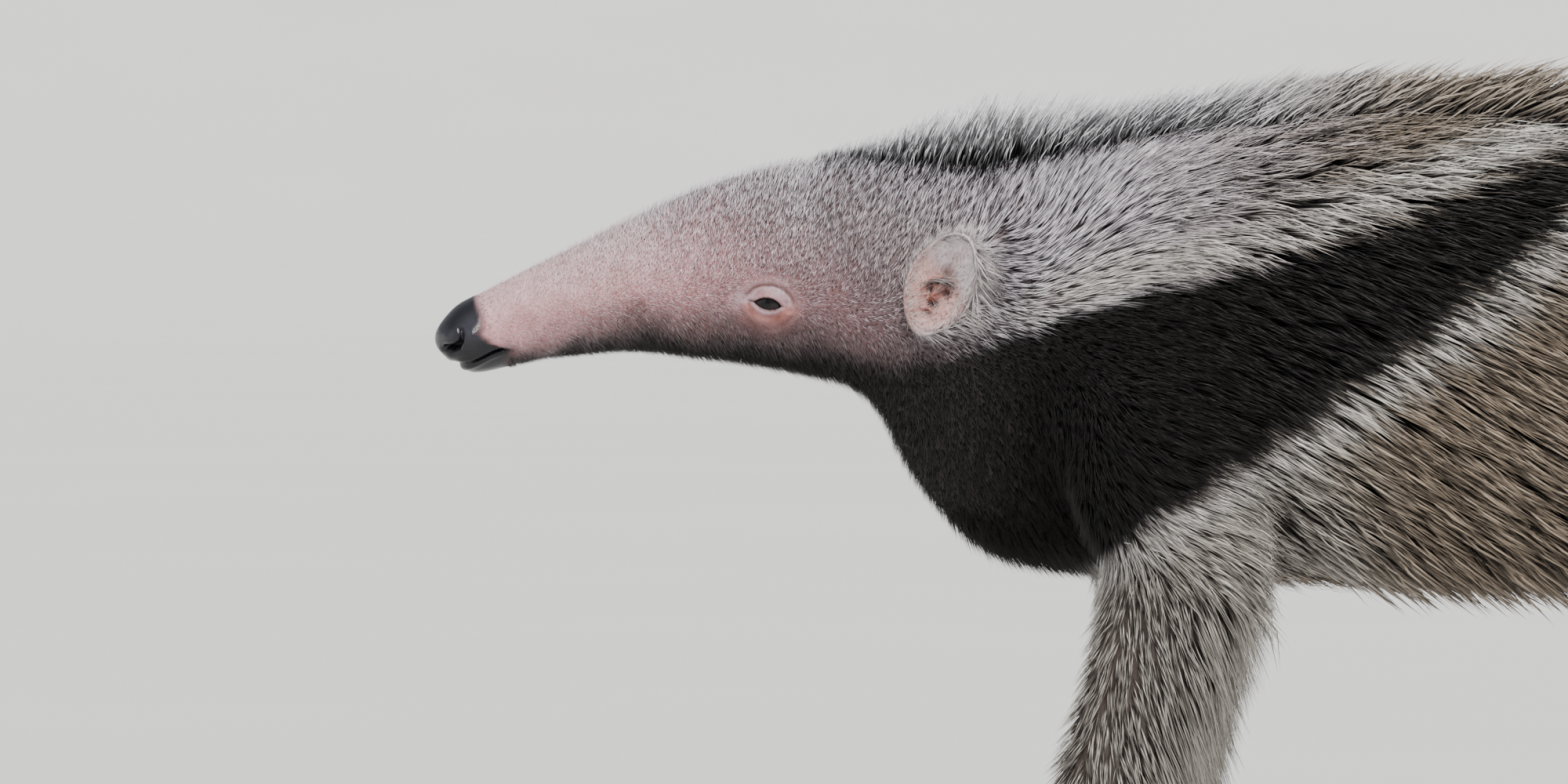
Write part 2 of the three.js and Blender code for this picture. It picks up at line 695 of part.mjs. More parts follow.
// Rows of locks from the core out and back to the plume's edge.
function plumeLocks(seed) {
  const draw = drawsFrom(seed);
  const locks = [];
  for (let row = 0; row < PLUME_ROWS; row++) {
    const share = row / (PLUME_ROWS - 1);
    for (const { turn, run, sway, facing } of PLUME_LOCKS) {
      const degrees = turn + (row % 2 ? sway : -sway);
      const x = THREE.MathUtils.lerp(PLUME_FROM, PLUME_TO, share) + 8 * (draw() - 0.5);
      const end = Math.min(TAIL_END, x + run * (0.92 + 0.2 * draw()));
      const out = aroundTail(PLUME, x, degrees).sub(aroundTail(PLUME, x, degrees, 0));
      locks.push(
        lock({
          root: aroundTail(TAIL_CORE, x, degrees, 0.62),
          tip: aroundTail(PLUME, end, degrees, 0.92 + 0.08 * draw()),
          bow: out.normalize().multiplyScalar(PLUME_LOCK.bow),
          facing: new THREE.Vector3(...facing),
          width: PLUME_LOCK.width - PLUME_LOCK.thin * share,
          thickness: PLUME_LOCK.thickness,
        }),
      );
    }
  }
  return joined(locks);
}

// Assembly

const SIDES = [
  { name: "right", side: 1 },
  { name: "left", side: -1 },
];
const group = new THREE.Group();

function addNode(name, solid, colour, roughness = 0.85) {
  const material = new THREE.MeshStandardMaterial({ color: colour, roughness, metalness: 0 });
  const mesh = new THREE.Mesh(geometryOf(largest(solid)), material);
  mesh.name = name;
  group.add(mesh);
}

const whole = trunkSolid();
const wholeGrown = trunkSolid(GAP);
const sockets = joined(SIDES.flatMap(({ side }) => [foreLimb(side, GAP), hindLimb(side, GAP)]));

const MANE_LOCK = { pitch: 8.4, width: 12, thickness: 4.4 };
const mane = crestLocks(109, 222, MANE_LOCK, 11).add(crestCore(104, 222, 7));
let head = between(whole.add(mane), null, NECK_CUT);
for (const { side } of SIDES) {
  head = head.add(orbit(side)).add(eyeBall(side, EYE_RADIUS + GAP + LID_THICKNESS));
  head = head.subtract(eyeBall(side, EYE_RADIUS + GAP)).subtract(lidOpening(side));
}
const upperHead = head.subtract(jawSpace(MOUTH_GAP));
const nostrils = joined(SIDES.map(({ side }) => nostril(side)));
addNode("nose_pad", between(upperHead, null, NOSE_CUT).subtract(nostrils), BLACK, 0.3);
addNode("lower_jaw", head.intersect(jawSpace(0)), BLACK, 0.45);
addNode("snout", between(upperHead, NOSE_CUT, SNOUT_CUT), SKIN);
addNode("head", between(upperHead, SNOUT_CUT, null), SKIN);

addNode("neck", between(whole.add(mane).subtract(sockets), NECK_CUT, SHOULDER_CUT), GREY);

const CREST_LOCK = { pitch: 14, width: 20, thickness: 4.8 };
const crest = crestLocks(202, 440, CREST_LOCK, 12).add(crestCore(196, 452, 7));
const fringes = SIDES.flatMap(({ side }) => [flankLocks(side, 13), rumpLocks(side, 15)]);
const coated = joined([whole, crest, ...fringes]);
addNode("torso", between(coated.subtract(sockets), SHOULDER_CUT, RUMP_CUT), DARK);
addNode("tail", between(tailCore().add(plumeLocks(16)), RUMP_CUT, null), DARK);

for (const { name, side } of SIDES) {
  addNode(`eye_${name}`, eyeBall(side, EYE_RADIUS), BLACK, 0.1);
  addNode(`ear_${name}`, ear(side).subtract(wholeGrown), SKIN);

  const fore = foreLimb(side);
  const hand = joined([between(fore, WRIST_CUT, null), ...handToes(side)]);
  addNode(`upper_arm_${name}`, between(fore, null, ELBOW_CUT), BLACK);
  const forearm = between(fore, ELBOW_CUT, WRIST_CUT).add(limbLocks(side, FOREARM_LOCKS, 17));
  addNode(`forearm_${name}`, forearm, PALE);
  addNode(`hand_${name}`, aboveFloor(hand), DARK);
  const handGrown = joined([foreLimb(side, GAP), ...handToes(side, GAP)]);
  HAND_CLAWS.forEach((claw, i) => {
    addNode(`fore_claw_${i + 1}_${name}`, handClaw(side, claw).subtract(handGrown), HORN, 0.4);
  });

  const hind = hindLimb(side);
  const foot = joined([between(hind, HOCK_CUT, null), hindSole(side)]);
  const thighLocks = limbLocks(side, THIGH_LOCKS, 18).subtract(wholeGrown);
  const thigh = between(hind, null, KNEE_CUT).add(thighLocks);
  const shank = between(hind, KNEE_CUT, HOCK_CUT).add(limbLocks(side, SHANK_LOCKS, 19));
  addNode(`thigh_${name}`, thigh, DARK);
  addNode(`shank_${name}`, shank, DARK);
  addNode(`foot_${name}`, aboveFloor(foot), DARK);
  const footGrown = hindSole(side, GAP);
  for (const toe of HIND_CLAWS) {
    addNode(`hind_claw_${toe + 1}_${name}`, hindClaw(side, toe).subtract(footGrown), HORN, 0.4);
  }
}

// The middle of the whole, nose to tail tip, stands at X 0.
const box = new THREE.Box3().setFromObject(group);
const centreX = (box.min.x + box.max.x) / 2;
for (const mesh of group.children) mesh.geometry.translate(-centreX, 0, 0);

export default group;
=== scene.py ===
# A young giant anteater, life size, standing still with its head level, seen from its left side.
import json
import math

import bmesh
import bpy
import numpy as np
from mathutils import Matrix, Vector
from mathutils.kdtree import KDTree

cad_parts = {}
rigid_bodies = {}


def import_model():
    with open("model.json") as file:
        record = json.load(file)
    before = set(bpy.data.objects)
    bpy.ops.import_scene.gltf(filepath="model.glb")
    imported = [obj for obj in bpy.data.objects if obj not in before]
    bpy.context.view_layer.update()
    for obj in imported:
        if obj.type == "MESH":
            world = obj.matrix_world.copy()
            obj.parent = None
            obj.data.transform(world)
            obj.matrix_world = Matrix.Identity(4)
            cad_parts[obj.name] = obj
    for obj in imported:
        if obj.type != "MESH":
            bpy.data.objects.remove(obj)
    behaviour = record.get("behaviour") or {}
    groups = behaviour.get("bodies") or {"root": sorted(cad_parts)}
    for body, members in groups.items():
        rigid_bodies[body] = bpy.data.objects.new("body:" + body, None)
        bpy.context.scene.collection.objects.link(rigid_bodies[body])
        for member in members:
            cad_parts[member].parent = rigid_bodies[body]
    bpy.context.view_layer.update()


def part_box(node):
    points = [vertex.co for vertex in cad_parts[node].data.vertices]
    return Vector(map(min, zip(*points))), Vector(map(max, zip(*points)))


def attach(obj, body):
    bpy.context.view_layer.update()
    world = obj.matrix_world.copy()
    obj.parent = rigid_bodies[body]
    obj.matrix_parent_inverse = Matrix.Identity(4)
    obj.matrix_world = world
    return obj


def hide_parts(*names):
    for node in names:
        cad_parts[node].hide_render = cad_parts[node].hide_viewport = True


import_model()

# Studio
# The camera stands level with the head, at the animal's left, with a long lens. The floor is a
# wide pale sheet that rises far away on every side. The light is soft, from a bright room and
# three far lamps: one high over the camera, a weak one in front of the face, one from behind.
MM = 0.001
NOSE_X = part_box("nose_pad")[0].x
LENS = 200
SENSOR = 36
VIEW_WIDTH = 420
VIEW_MIDDLE = (93.5, 157.3)
VIEW_RISE = 1.2
FLOOR_TONE = (0.7, 0.695, 0.68, 1)
FLOOR_RINGS = [(0, 0), (6, 0), (13, 0), (15, 0.2), (17, 0.8), (19, 1.9), (20, 2.8)]
FLOOR_CORNERS = 64
FLOOR_SHADE = 0.97
FLOOR_ROUGHNESS = 0.9
FLOOR_GRAIN = 2.0
LAMPS = [
    {"name": "key", "place": (0.35, -1.7, 2.3), "angle": 14, "power": 3.9, "tone": (1, 0.97, 0.93)},
    {"name": "fill", "place": (-1.6, -1.2, 0.9), "angle": 60, "power": 0.7, "tone": (0.93, 0.96, 1)},
    {"name": "back", "place": (0.6, 1.8, 1.8), "angle": 35, "power": 1.6, "tone": (1, 0.98, 0.95)},
]
SKY_TONE = (0.88, 0.93, 1, 1)
SKY_STRENGTH = 0.56


def pointed_at(place, target):
    return (Vector(target) - Vector(place)).to_track_quat("-Z", "Y").to_euler()


def new_material(name):
    material = bpy.data.materials.new(name)
    material.use_nodes = True
    nodes = material.node_tree.nodes
    return material, nodes, material.node_tree.links, nodes["Principled BSDF"]


def noise_node(nodes, links, scale, detail, rough=0.5):
    """Noise in the piece's own coordinates, its scale counted to the metre."""
    noise = nodes.new("ShaderNodeTexNoise")
    noise.inputs["Scale"].default_value = scale
    noise.inputs["Detail"].default_value = detail
    noise.inputs["Roughness"].default_value = rough
    links.new(nodes.new("ShaderNodeTexCoord").outputs["Object"], noise.inputs["Vector"])
    return noise


def ramp_node(nodes, links, factor, stops):
    ramp = nodes.new("ShaderNodeValToRGB")
    elements = ramp.color_ramp.elements
    for i, (place, tone) in enumerate(stops):
        element = elements[i] if i < 2 else elements.new(place)
        element.position = place
        element.color = tone
    links.new(factor, ramp.inputs["Fac"])
    return ramp


target = Vector((NOSE_X + VIEW_MIDDLE[0] * MM, 0, VIEW_MIDDLE[1] * MM))
distance = VIEW_WIDTH * MM * LENS / SENSOR
rise = math.radians(VIEW_RISE)
camera_data = bpy.data.cameras.new("camera")
camera_data.lens = LENS
camera_data.sensor_width = SENSOR
camera = bpy.data.objects.new("camera", camera_data)
camera.location = target + distance * Vector((0, -math.cos(rise), math.sin(rise)))
camera.rotation_euler = pointed_at(camera.location, target)
bpy.context.collection.objects.link(camera)
bpy.context.scene.camera = camera

for lamp in LAMPS:
    light = bpy.data.lights.new(lamp["name"], "SUN")
    light.angle = math.radians(lamp["angle"])
    light.energy = lamp["power"]
    light.color = lamp["tone"]
    holder = bpy.data.objects.new(lamp["name"], light)
    holder.location = lamp["place"]
    holder.rotation_euler = pointed_at(holder.location, target)
    bpy.context.collection.objects.link(holder)

sky = bpy.data.worlds.new("sky")
sky.use_nodes = True
sky.node_tree.nodes["Background"].inputs["Color"].default_value = SKY_TONE
sky.node_tree.nodes["Background"].inputs["Strength"].default_value = SKY_STRENGTH
bpy.context.scene.world = sky

floor_points = [(0, 0, 0)]
for radius, height in FLOOR_RINGS[1:]:
    for corner in range(FLOOR_CORNERS):
        turn = 2 * math.pi * corner / FLOOR_CORNERS
        floor_points.append((radius * math.cos(turn), radius * math.sin(turn), height))
floor_faces = [(0, 1 + c, 1 + (c + 1) % FLOOR_CORNERS) for c in range(FLOOR_CORNERS)]
for ring in range(len(FLOOR_RINGS) - 2):
    inner = 1 + ring * FLOOR_CORNERS
    outer = inner + FLOOR_CORNERS
    for c in range(FLOOR_CORNERS):
        d = (c + 1) % FLOOR_CORNERS
        floor_faces.append((inner + c, outer + c, outer + d, inner + d))
floor_mesh = bpy.data.meshes.new("floor")
floor_mesh.from_pydata(floor_points, [], floor_faces)
floor_mesh.shade_smooth()
floor = bpy.data.objects.new("floor", floor_mesh)
bpy.context.collection.objects.link(floor)
floor_look, nodes, links, shader = new_material("pale_floor")
grain = noise_node(nodes, links, FLOOR_GRAIN, 2)
darker = tuple(c * FLOOR_SHADE for c in FLOOR_TONE[:3]) + (1,)
ramp = ramp_node(nodes, links, grain.outputs["Fac"], [(0.3, darker), (0.7, FLOOR_TONE)])
links.new(ramp.outputs["Color"], shader.inputs["Base Color"])
shader.inputs["Roughness"].default_value = FLOOR_ROUGHNESS
floor_mesh.materials.append(floor_look)

# Skin
# One bare skin covers the nose, head, ears, body, legs and tail without a seam, under the coat by
# the coat's depth. Nostrils, mouth, lids, folds and the cups of the ears are worked in it. Sizes
# are in millimetres, from the nose tip back (X) and from the floor up (Z).
TRUNK_X = [0, 5.5, 10.5, 20, 30.5, 51.5, 72.5, 89, 104, 114, 121, 129, 141, 160, 190, 235, 285]
TRUNK_X += [330, 375, 415, 445, 468]
TRUNK_TOP = [178.2, 180.4, 182.9, 187.8, 193, 203.3, 212.9, 218.6, 221.8, 223, 223.3, 223.6, 224.2]
TRUNK_TOP += [226, 230, 232.5, 230.5, 225, 216, 204, 192, 184]
TRUNK_BOTTOM = [165.6, 165, 162.8, 164.2, 166.7, 169, 166.8, 164.5, 161, 157, 149, 133, 119, 110]
TRUNK_BOTTOM += [105, 102, 100, 104, 114, 127, 140, 150]
TRUNK_HALF = [7.4, 8.4, 9, 10.4, 11.8, 15.6, 20, 23.4, 26.4, 28.4, 29.6, 31, 34, 39, 44.5, 48, 50]
TRUNK_HALF += [49.5, 47, 41, 31, 24]
TRUNK_WIDEST = [171, 171.5, 172, 175, 178.5, 184, 187, 188, 188, 187, 185, 180, 174, 168, 164, 160]
TRUNK_WIDEST += [157, 158, 162, 166, 168, 167]
BODY_LENGTH = 468
NOSE_TIP_Z = 171.6
NOSE_ROUNDING = 8
NOSE_RINGS = 30
RUMP_ROUNDING = 34
RUMP_RINGS = 9
RUMP_TURNS = (0.15, math.pi / 2 - 0.12)
RING_STOPS = [(8, 0.5), (26, 1.1), (74, 0.6), (82, 0.28), (96, 0.6), (104, 1.2), (152, 5), (434, 5)]
CORNER_STOPS = [(-90, 2.8), (-50, 1.2), (-33, 0.65), (-3, 1.2), (14, 2.6), (90, 0)]
# By place along the body: how deep the skin lies under the coat, and how much deeper on top.
COAT_DEPTH = [(0, 0), (11, 0), (20, 0.3), (90, 0.8), (112, 1.6), (140, 3.2), (190, 6), (468, 7)]
NECK_HAIR_DEPTH = [(0, 0), (60, 0), (90, 1.2), (120, 2.6), (150, 3.4), (190, 1), (468, 0)]


def hermite(xs, ys, x):
    """A smooth curve through points, read at any x."""
    xs, ys = np.asarray(xs, float), np.asarray(ys, float)
    slope = np.empty_like(ys)
    slope[1:-1] = (ys[2:] - ys[:-2]) / (xs[2:] - xs[:-2])
    slope[0] = (ys[1] - ys[0]) / (xs[1] - xs[0])
    slope[-1] = (ys[-1] - ys[-2]) / (xs[-1] - xs[-2])
    i = np.clip(np.searchsorted(xs, x) - 1, 0, len(xs) - 2)
    span = xs[i + 1] - xs[i]
    t = np.clip((x - xs[i]) / span, 0, 1)
    return (
        ys[i] * (2 * t**3 - 3 * t**2 + 1)
        + slope[i] * span * (t**3 - 2 * t**2 + t)
        + ys[i + 1] * (3 * t**2 - 2 * t**3)
        + slope[i + 1] * span * (t**3 - t**2)
    )


def linear(table, x):
    return np.interp(x, [p[0] for p in table], [p[1] for p in table])


def smooth(low, high, x):
    t = np.clip((np.asarray(x, float) - low) / (high - low), 0, 1)
    return t * t * (3 - 2 * t)


def trunk_section(x):
    """Middle height, reach up, reach down and half width of the coat's outline at x."""
    nose = np.clip(1 - x / NOSE_ROUNDING, 0, 1)
    rump = np.clip(1 - (BODY_LENGTH - x) / RUMP_ROUNDING, 0, 1)
    closing = np.sqrt(1 - nose**2) * np.sqrt(1 - rump**2)
    middle = hermite(TRUNK_X, TRUNK_WIDEST, x) * (1 - nose) + NOSE_TIP_Z * nose
    up = (hermite(TRUNK_X, TRUNK_TOP, x) - middle) * closing
    down = (middle - hermite(TRUNK_X, TRUNK_BOTTOM, x)) * closing
    return middle, up, down, hermite(TRUNK_X, TRUNK_HALF, x) * closing


def spaced(stops):
    """Numbers from each stop to the next, by the first one's step."""
    values = []
    for (start, step), (end, _) in zip(stops, stops[1:]):
        count = max(1, round((end - start) / step))
        values += [start + (end - start) * i / count for i in range(count)]
    return np.array(values + [stops[-1][0]])


nose_turns = np.linspace(0, math.pi / 2, NOSE_RINGS)[1:-1]
rump_turns = np.linspace(*RUMP_TURNS, RUMP_RINGS)
ring_x = np.concatenate(
    [
        NOSE_ROUNDING * (1 - np.cos(nose_turns)),
        spaced(RING_STOPS),
        BODY_LENGTH - RUMP_ROUNDING * (1 - np.sin(rump_turns)),
    ]
)
right_side = spaced(CORNER_STOPS)
corner_degrees = np.concatenate([right_side, (180 - right_side[1:-1])[::-1]])
turns = np.radians(corner_degrees)
middle, up, down, half = trunk_section(ring_x)
rise_share = np.sin(turns)[None, :]
inset = linear(COAT_DEPTH, ring_x)[:, None]
above = smooth(0.1, 0.9, rise_share)
inset = inset + linear(NECK_HAIR_DEPTH, ring_x)[:, None] * above
height = np.where(rise_share > 0, up[:, None], down[:, None])
trunk = np.empty((len(ring_x), len(turns), 3))
trunk[..., 0] = ring_x[:, None]
trunk[..., 1] = (half[:, None] - inset) * np.cos(turns)[None, :]
trunk[..., 2] = middle[:, None] + (height - inset) * rise_share


def outward(grid):
    """Unit directions out of a skin made of rings round X."""
    along = np.gradient(grid, axis=0)
    around = (np.roll(grid, -1, axis=1) - np.roll(grid, 1, axis=1)) / 2
    normal = np.cross(around, along)
    return normal / np.maximum(np.linalg.norm(normal, axis=-1, keepdims=True), 1e-9)


def bump(distance_from, width):
    """A soft swelling, one high at its middle."""
    return np.exp(-((distance_from / width) ** 2))


def from_path(x, z, path):
    """Distance from a line of points in side view, and how far along it the nearest place is."""
    best = np.full(np.shape(x), 1e9)
    place = np.zeros(np.shape(x))
    lengths = [math.hypot(b[0] - a[0], b[1] - a[1]) for a, b in zip(path, path[1:])]
    total, done = sum(lengths), 0
    for (a, b), length in zip(zip(path, path[1:]), lengths):
        ux, uz = (b[0] - a[0]) / length, (b[1] - a[1]) / length
        t = np.clip((x - a[0]) * ux + (z - a[1]) * uz, 0, length)
        d = np.hypot(x - a[0] - t * ux, z - a[1] - t * uz)
        closer = d < best
        best = np.where(closer, d, best)
        place = np.where(closer, (done + t) / total, place)
        done += length
    return best, place


# The muzzle: nostrils shaped like commas, their wings, the notch below them, the line of the
# mouth with its lower lip, and the step where the bare pad ends.
NOSTRIL = [(7.4, 174.3), (7.7, 172.9), (7.4, 171.1), (6.3, 169.6), (4.6, 168.9), (3.0, 169.1)]
MOUTH = [(4.9, 165.3), (7.7, 164.9), (9.6, 165.2), (11.9, 166.1), (15.5, 168), (18, 168.8), (21.3, 168.9)]
PAD_EDGE = [(10.9, 186), (10.9, 183.1), (12.4, 177.7), (12.4, 172.8), (15.1, 170.3), (21, 168.6)]
CHIN_EDGE = [(21, 168.6), (18.5, 166), (17.5, 162)]
FRONT_WING = (4.4, 172.2)
FRONT_WING_HEIGHT = 0.75
BACK_WING = (10.3, 172.2)
BACK_WING_HEIGHT = 1.25
LOBE = (4.2, 167.0)
LOBE_HEIGHT = 0.35
PHILTRUM_DEPTH = 0.5
NOSTRIL_NARROW = 0.38
NOSTRIL_WIDENS = 0.62
NOSTRIL_SHALLOW = 1.3
NOSTRIL_DEEPENS = 1.7
MOUTH_DEPTH = 1.25
MOUTH_HALF = 0.36
LOWER_LIP = 0.42
UPPER_LIP = 0.28
PAD_STEP = 0.22


def edge_at(z, line):
    """Where a line of points that runs down the face lies at height z."""
    return np.interp(z, [q[1] for q in line[::-1]], [q[0] for q in line[::-1]])


def knob(x, z, place, width):
    """A round swelling at a place in side view."""
    return bump(np.hypot(x - place[0], z - place[1]), width)


nose_zone = trunk[..., 0] < 30
x, y, z = trunk[..., 0], trunk[..., 1], trunk[..., 2]
normals = outward(trunk)
d, t = from_path(x, z, NOSTRIL)
width = NOSTRIL_NARROW + NOSTRIL_WIDENS * smooth(0.2, 0.75, t) * (1 - 0.3 * smooth(0.85, 1, t))
pit_depth = NOSTRIL_SHALLOW + NOSTRIL_DEEPENS * smooth(0.05, 0.6, t)
pit = -pit_depth * bump(d, width) * smooth(1.2, 3.2, np.abs(y))
wing = FRONT_WING_HEIGHT * knob(x, z, FRONT_WING, 2.3) * smooth(2, 5, np.abs(y))
wing += BACK_WING_HEIGHT * bump(np.hypot(x - BACK_WING[0], (z - BACK_WING[1]) / 1.2), 2.2)
lobe = LOBE_HEIGHT * knob(x, z, LOBE, 1.2)
d_mouth, t_mouth = from_path(x, z, MOUTH)
mouth_cut = -MOUTH_DEPTH * bump(d_mouth, MOUTH_HALF) * (1 - 0.75 * smooth(0.8, 1, t_mouth))
under_mouth = z - linear(MOUTH, x)
lip_roll = LOWER_LIP * bump(under_mouth + 1.05, 0.6) * smooth(4, 7, x) * (1 - smooth(15, 21, x))
upper_roll = UPPER_LIP * bump(under_mouth - 0.9, 0.55) * smooth(5, 8, x) * (1 - smooth(15, 22, x))
philtrum = -PHILTRUM_DEPTH * bump(y, 0.5) * smooth(171, 168.5, z) * (1 - smooth(4, 7, x))
philtrum = philtrum * smooth(164.6, 166, z)
pad_step = PAD_STEP * (1 - smooth(-0.5, 0.4, x - edge_at(z, PAD_EDGE))) * smooth(2, 6, x)
muzzle = pit + wing + lobe + mouth_cut + lip_roll + upper_roll + philtrum + pad_step
trunk += normals * (muzzle * nose_zone)[..., None]

# The eyes: each lid is a low dome over the ball with an almond slit that slopes down behind, a
# fine crease running on from its two corners, rolls of skin above and below, and small wrinkles.
EYE = (89.2, 18.9, 181)
EYE_RADIUS = 4.6
LID_RADIUS = 5.25
EYE_SLOPE = -0.17
SLIT_HALF = 3.55
SLIT_UP = 1.75
SLIT_DOWN = 1.5
CREASE_FRONT = 6.6
CREASE_BACK = 5.0
CREASE_DEPTH = 0.75
LID_OVAL = 1.25
LID_BLEND = 2.4
LID_REACH = 15
WRINKLES = 17
BALL_SUNK = 0.9


def slit_edge(u, v):
    """Rough distance outside the almond between the lids, below zero within it."""
    share = np.clip(1 - (np.abs(u) / SLIT_HALF) ** 2, 0, 1) ** 0.75
    upper, lower = SLIT_UP * share, SLIT_DOWN * share
    inside = np.where(v > 0, np.abs(v) - upper, np.abs(v) - lower)
    beyond = np.hypot(np.maximum(np.abs(u) - SLIT_HALF, 0), v)
    return np.where(np.abs(u) < SLIT_HALF, inside, beyond + 0.02)


def eye_plane(x, z):
    """The place beside the eye's middle: along the slit, and up across it."""
    dx, dz = x - EYE[0], z - EYE[2]
    c, s = math.cos(EYE_SLOPE), math.sin(EYE_SLOPE)
    return dx * c + dz * s, -dx * s + dz * c


for side in (1, -1):
    x, y, z = trunk[..., 0], trunk[..., 1] * side, trunk[..., 2]
    near = (y > 5) & (np.abs(x - EYE[0]) < LID_REACH) & (np.abs(z - EYE[2]) < LID_REACH)
    u, v = eye_plane(x, z)
    edge = slit_edge(u, v)
    snap = np.where(near & (np.abs(edge) < 0.2) & (np.abs(u) < SLIT_HALF), edge, 0)
    v = v - snap * np.sign(v)
    rho = np.hypot(u, v)
    oval = np.hypot(u / LID_OVAL, v)
    folds = 0.5 * bump(oval - 6.2, 1.3) * smooth(-1, 3, v)
    folds += -0.62 * bump(oval - 5.1 - 0.05 * u, 0.5) * smooth(-0.5, 2.5, v)
    folds += 0.42 * bump(oval - 4.7, 1.0) * smooth(0.5, -2, v)
    folds += -0.34 * bump(oval - 5.9, 0.42) * smooth(0, -2.5, v) * smooth(-8, 2, u)
    folds += -0.22 * bump(oval - 3.7, 0.3) * smooth(0, -2, v)
    folds += -0.25 * bump(oval - 7.6, 0.5) * smooth(1, 4, v)
    rays = np.sin(np.arctan2(v, u) * WRINKLES + 1.3 * np.sin(oval * 1.7))
    folds += 0.09 * rays * bump(oval - 6, 2.2) * smooth(-2, 5, u)
    hollow = -0.9 * bump(np.hypot(u + 7.5, v - 1.5), 3.2)
    base = y + (folds + hollow)
    dome_out = EYE[1] + np.sqrt(np.maximum(LID_RADIUS**2 - rho**2, 0))
    dome_out = np.where(rho < LID_RADIUS, dome_out, -1e3)
    gap = np.clip(0.5 + (dome_out - base) / LID_BLEND, 0, 1)
    lidded = base * (1 - gap) + dome_out * gap + 1.2 * gap * (1 - gap)
    lidded = np.where(dome_out > -100, lidded, base)
    ahead, after = smooth(CREASE_FRONT, SLIT_HALF - 1, -u), smooth(CREASE_BACK, SLIT_HALF - 1, u)
    crease = np.where(u < 0, ahead, after)
    bend = v - 0.25 * smooth(3, 6, -u) + 0.35 * smooth(3, 5.5, u)
    lidded += -CREASE_DEPTH * bump(bend, 0.3) * crease * (np.abs(u) > SLIT_HALF - 0.3)
    ball = EYE[1] + np.sqrt(np.maximum(EYE_RADIUS**2 - rho**2, 0.5))
    edge = slit_edge(u, v)
    opened = smooth(0.02, -0.34, edge)
    lidded = lidded * (1 - opened) + (ball - BALL_SUNK) * opened
    c, s = math.cos(EYE_SLOPE), math.sin(EYE_SLOPE)
    trunk[..., 0] = np.where(near, EYE[0] + u * c - v * s, trunk[..., 0])
    trunk[..., 2] = np.where(near, EYE[2] + u * s + v * c, trunk[..., 2])
    trunk[..., 1] = np.where(near, side * lidded, trunk[..., 1])

# The ears: each is a low oval cup that leans back. Its inside has a canal low down in front, a
# ridge across it and a rolled rim.
EAR = (135, 33.2, 186.5)
EAR_HALF_WIDTH = 9.9
EAR_HALF_HEIGHT = 14.8
EAR_DEPTH = 11
EAR_FORWARD = 0.36
EAR_TIP_BACK = 0.5
EAR_RINGS = 28
EAR_CORNERS = 80
EAR_LEAF = 0.2
EAR_CUP_DEPTH = 5.4
EAR_WALL = 1.1
EAR_OPENING = 0.93
EAR_RIM = [(1.01, 0.4), (0.995, 0.85), (0.965, 0.95), (0.935, 0.6), (0.91, 0.0)]
EAR_INSIDE = (0.885, 0.02)
# The knobs and pits of the cup: how far back and up each lies, its half sizes, and its height.
EAR_LUMPS = [
    (-1.7, -4.5, 0.9, 1.5, 2.2),
    (-1.2, -6.7, 1.3, 0.8, -2.4),
    (-1.3, -9.3, 1.4, 0.8, -2.0),
    (-3.7, -3.4, 0.8, 1.0, -1.8),
    (-5.4, -4.2, 1.2, 2.4, 1.5),
    (1.9, -6.4, 1.2, 3.0, 1.6),
    (0.6, -2.4, 0.9, 0.8, -1.6),
]


def ear_waist(u):
    """How much narrower the ear is towards its two ends."""
    return 1 - EAR_LEAF * np.clip(u / EAR_HALF_HEIGHT, -1.3, 1.3) ** 2


def ear_front(a, u):
    """The lower front side of an ear, where its rim runs out into the cheek."""
    across, upward = a / EAR_HALF_WIDTH, u / EAR_HALF_HEIGHT
    share = np.maximum(np.hypot(across, upward), 0.2)
    return smooth(-0.1, 0.75, (-0.9 * across - 0.43 * upward) / share)


def ear_place(local, side):
    """Moves points from the ear's own axes (across, out, up) to the head."""
    a, o, u = local[..., 0], local[..., 1], local[..., 2]
    a = a * ear_waist(u)
    c, s = math.cos(EAR_TIP_BACK), math.sin(EAR_TIP_BACK)
    x, z = a * c + u * s, -a * s + u * c
    c, s = math.cos(EAR_FORWARD), math.sin(EAR_FORWARD)
    x, y = x * c - o * s, x * s + o * c
    return np.stack([EAR[0] + x, side * (EAR[1] + y), EAR[2] + z], axis=-1)


def ear_local(points, side):
    """Moves points of the head to the ear's own axes: across, out and up."""
    x, y, z = points[..., 0] - EAR[0], points[..., 1] * side - EAR[1], points[..., 2] - EAR[2]
    c, s = math.cos(EAR_FORWARD), math.sin(EAR_FORWARD)
    x, y = x * c + y * s, -x * s + y * c
    c, s = math.cos(EAR_TIP_BACK), math.sin(EAR_TIP_BACK)
    u = x * s + z * c
    return (x * c - z * s) / ear_waist(u), y, u


def ear_fold(a, u):
    """How far a point lies above the arched fold across the cup, and how strong the fold is there."""
    return u - 0.5 * a - 0.6 + 0.12 * (a + 2) ** 2, 1 - smooth(1.2, 5.2, np.abs(a + 2))


def ear_floor(a, u):
    """How far the inside of the cup lies behind its mouth."""
    share = np.clip(np.hypot(a / EAR_HALF_WIDTH, u / EAR_HALF_HEIGHT), 0, 1)
    deep = -EAR_CUP_DEPTH * (1 - share**2) ** 0.9 * (1 - 0.3 * ear_front(a, u))
    deep += -1.6 * bump(np.hypot(a + 1.6, (u + 4.8) / 1.5), 3)
    fold, across = ear_fold(a, u)
    deep += (1.6 * bump(fold - 1.4, 0.9) - 1.9 * bump(fold, 0.5)) * across
    for back, high, wide, tall, out in EAR_LUMPS:
        deep += out * bump(np.hypot((a - back) / wide, (u - high) / tall), 1)
    deep += 0.3 * np.sin(a * 1.7 + 0.6 * np.sin(u * 0.5)) * bump(u - 6.5, 4) * (1 - share)
    return deep


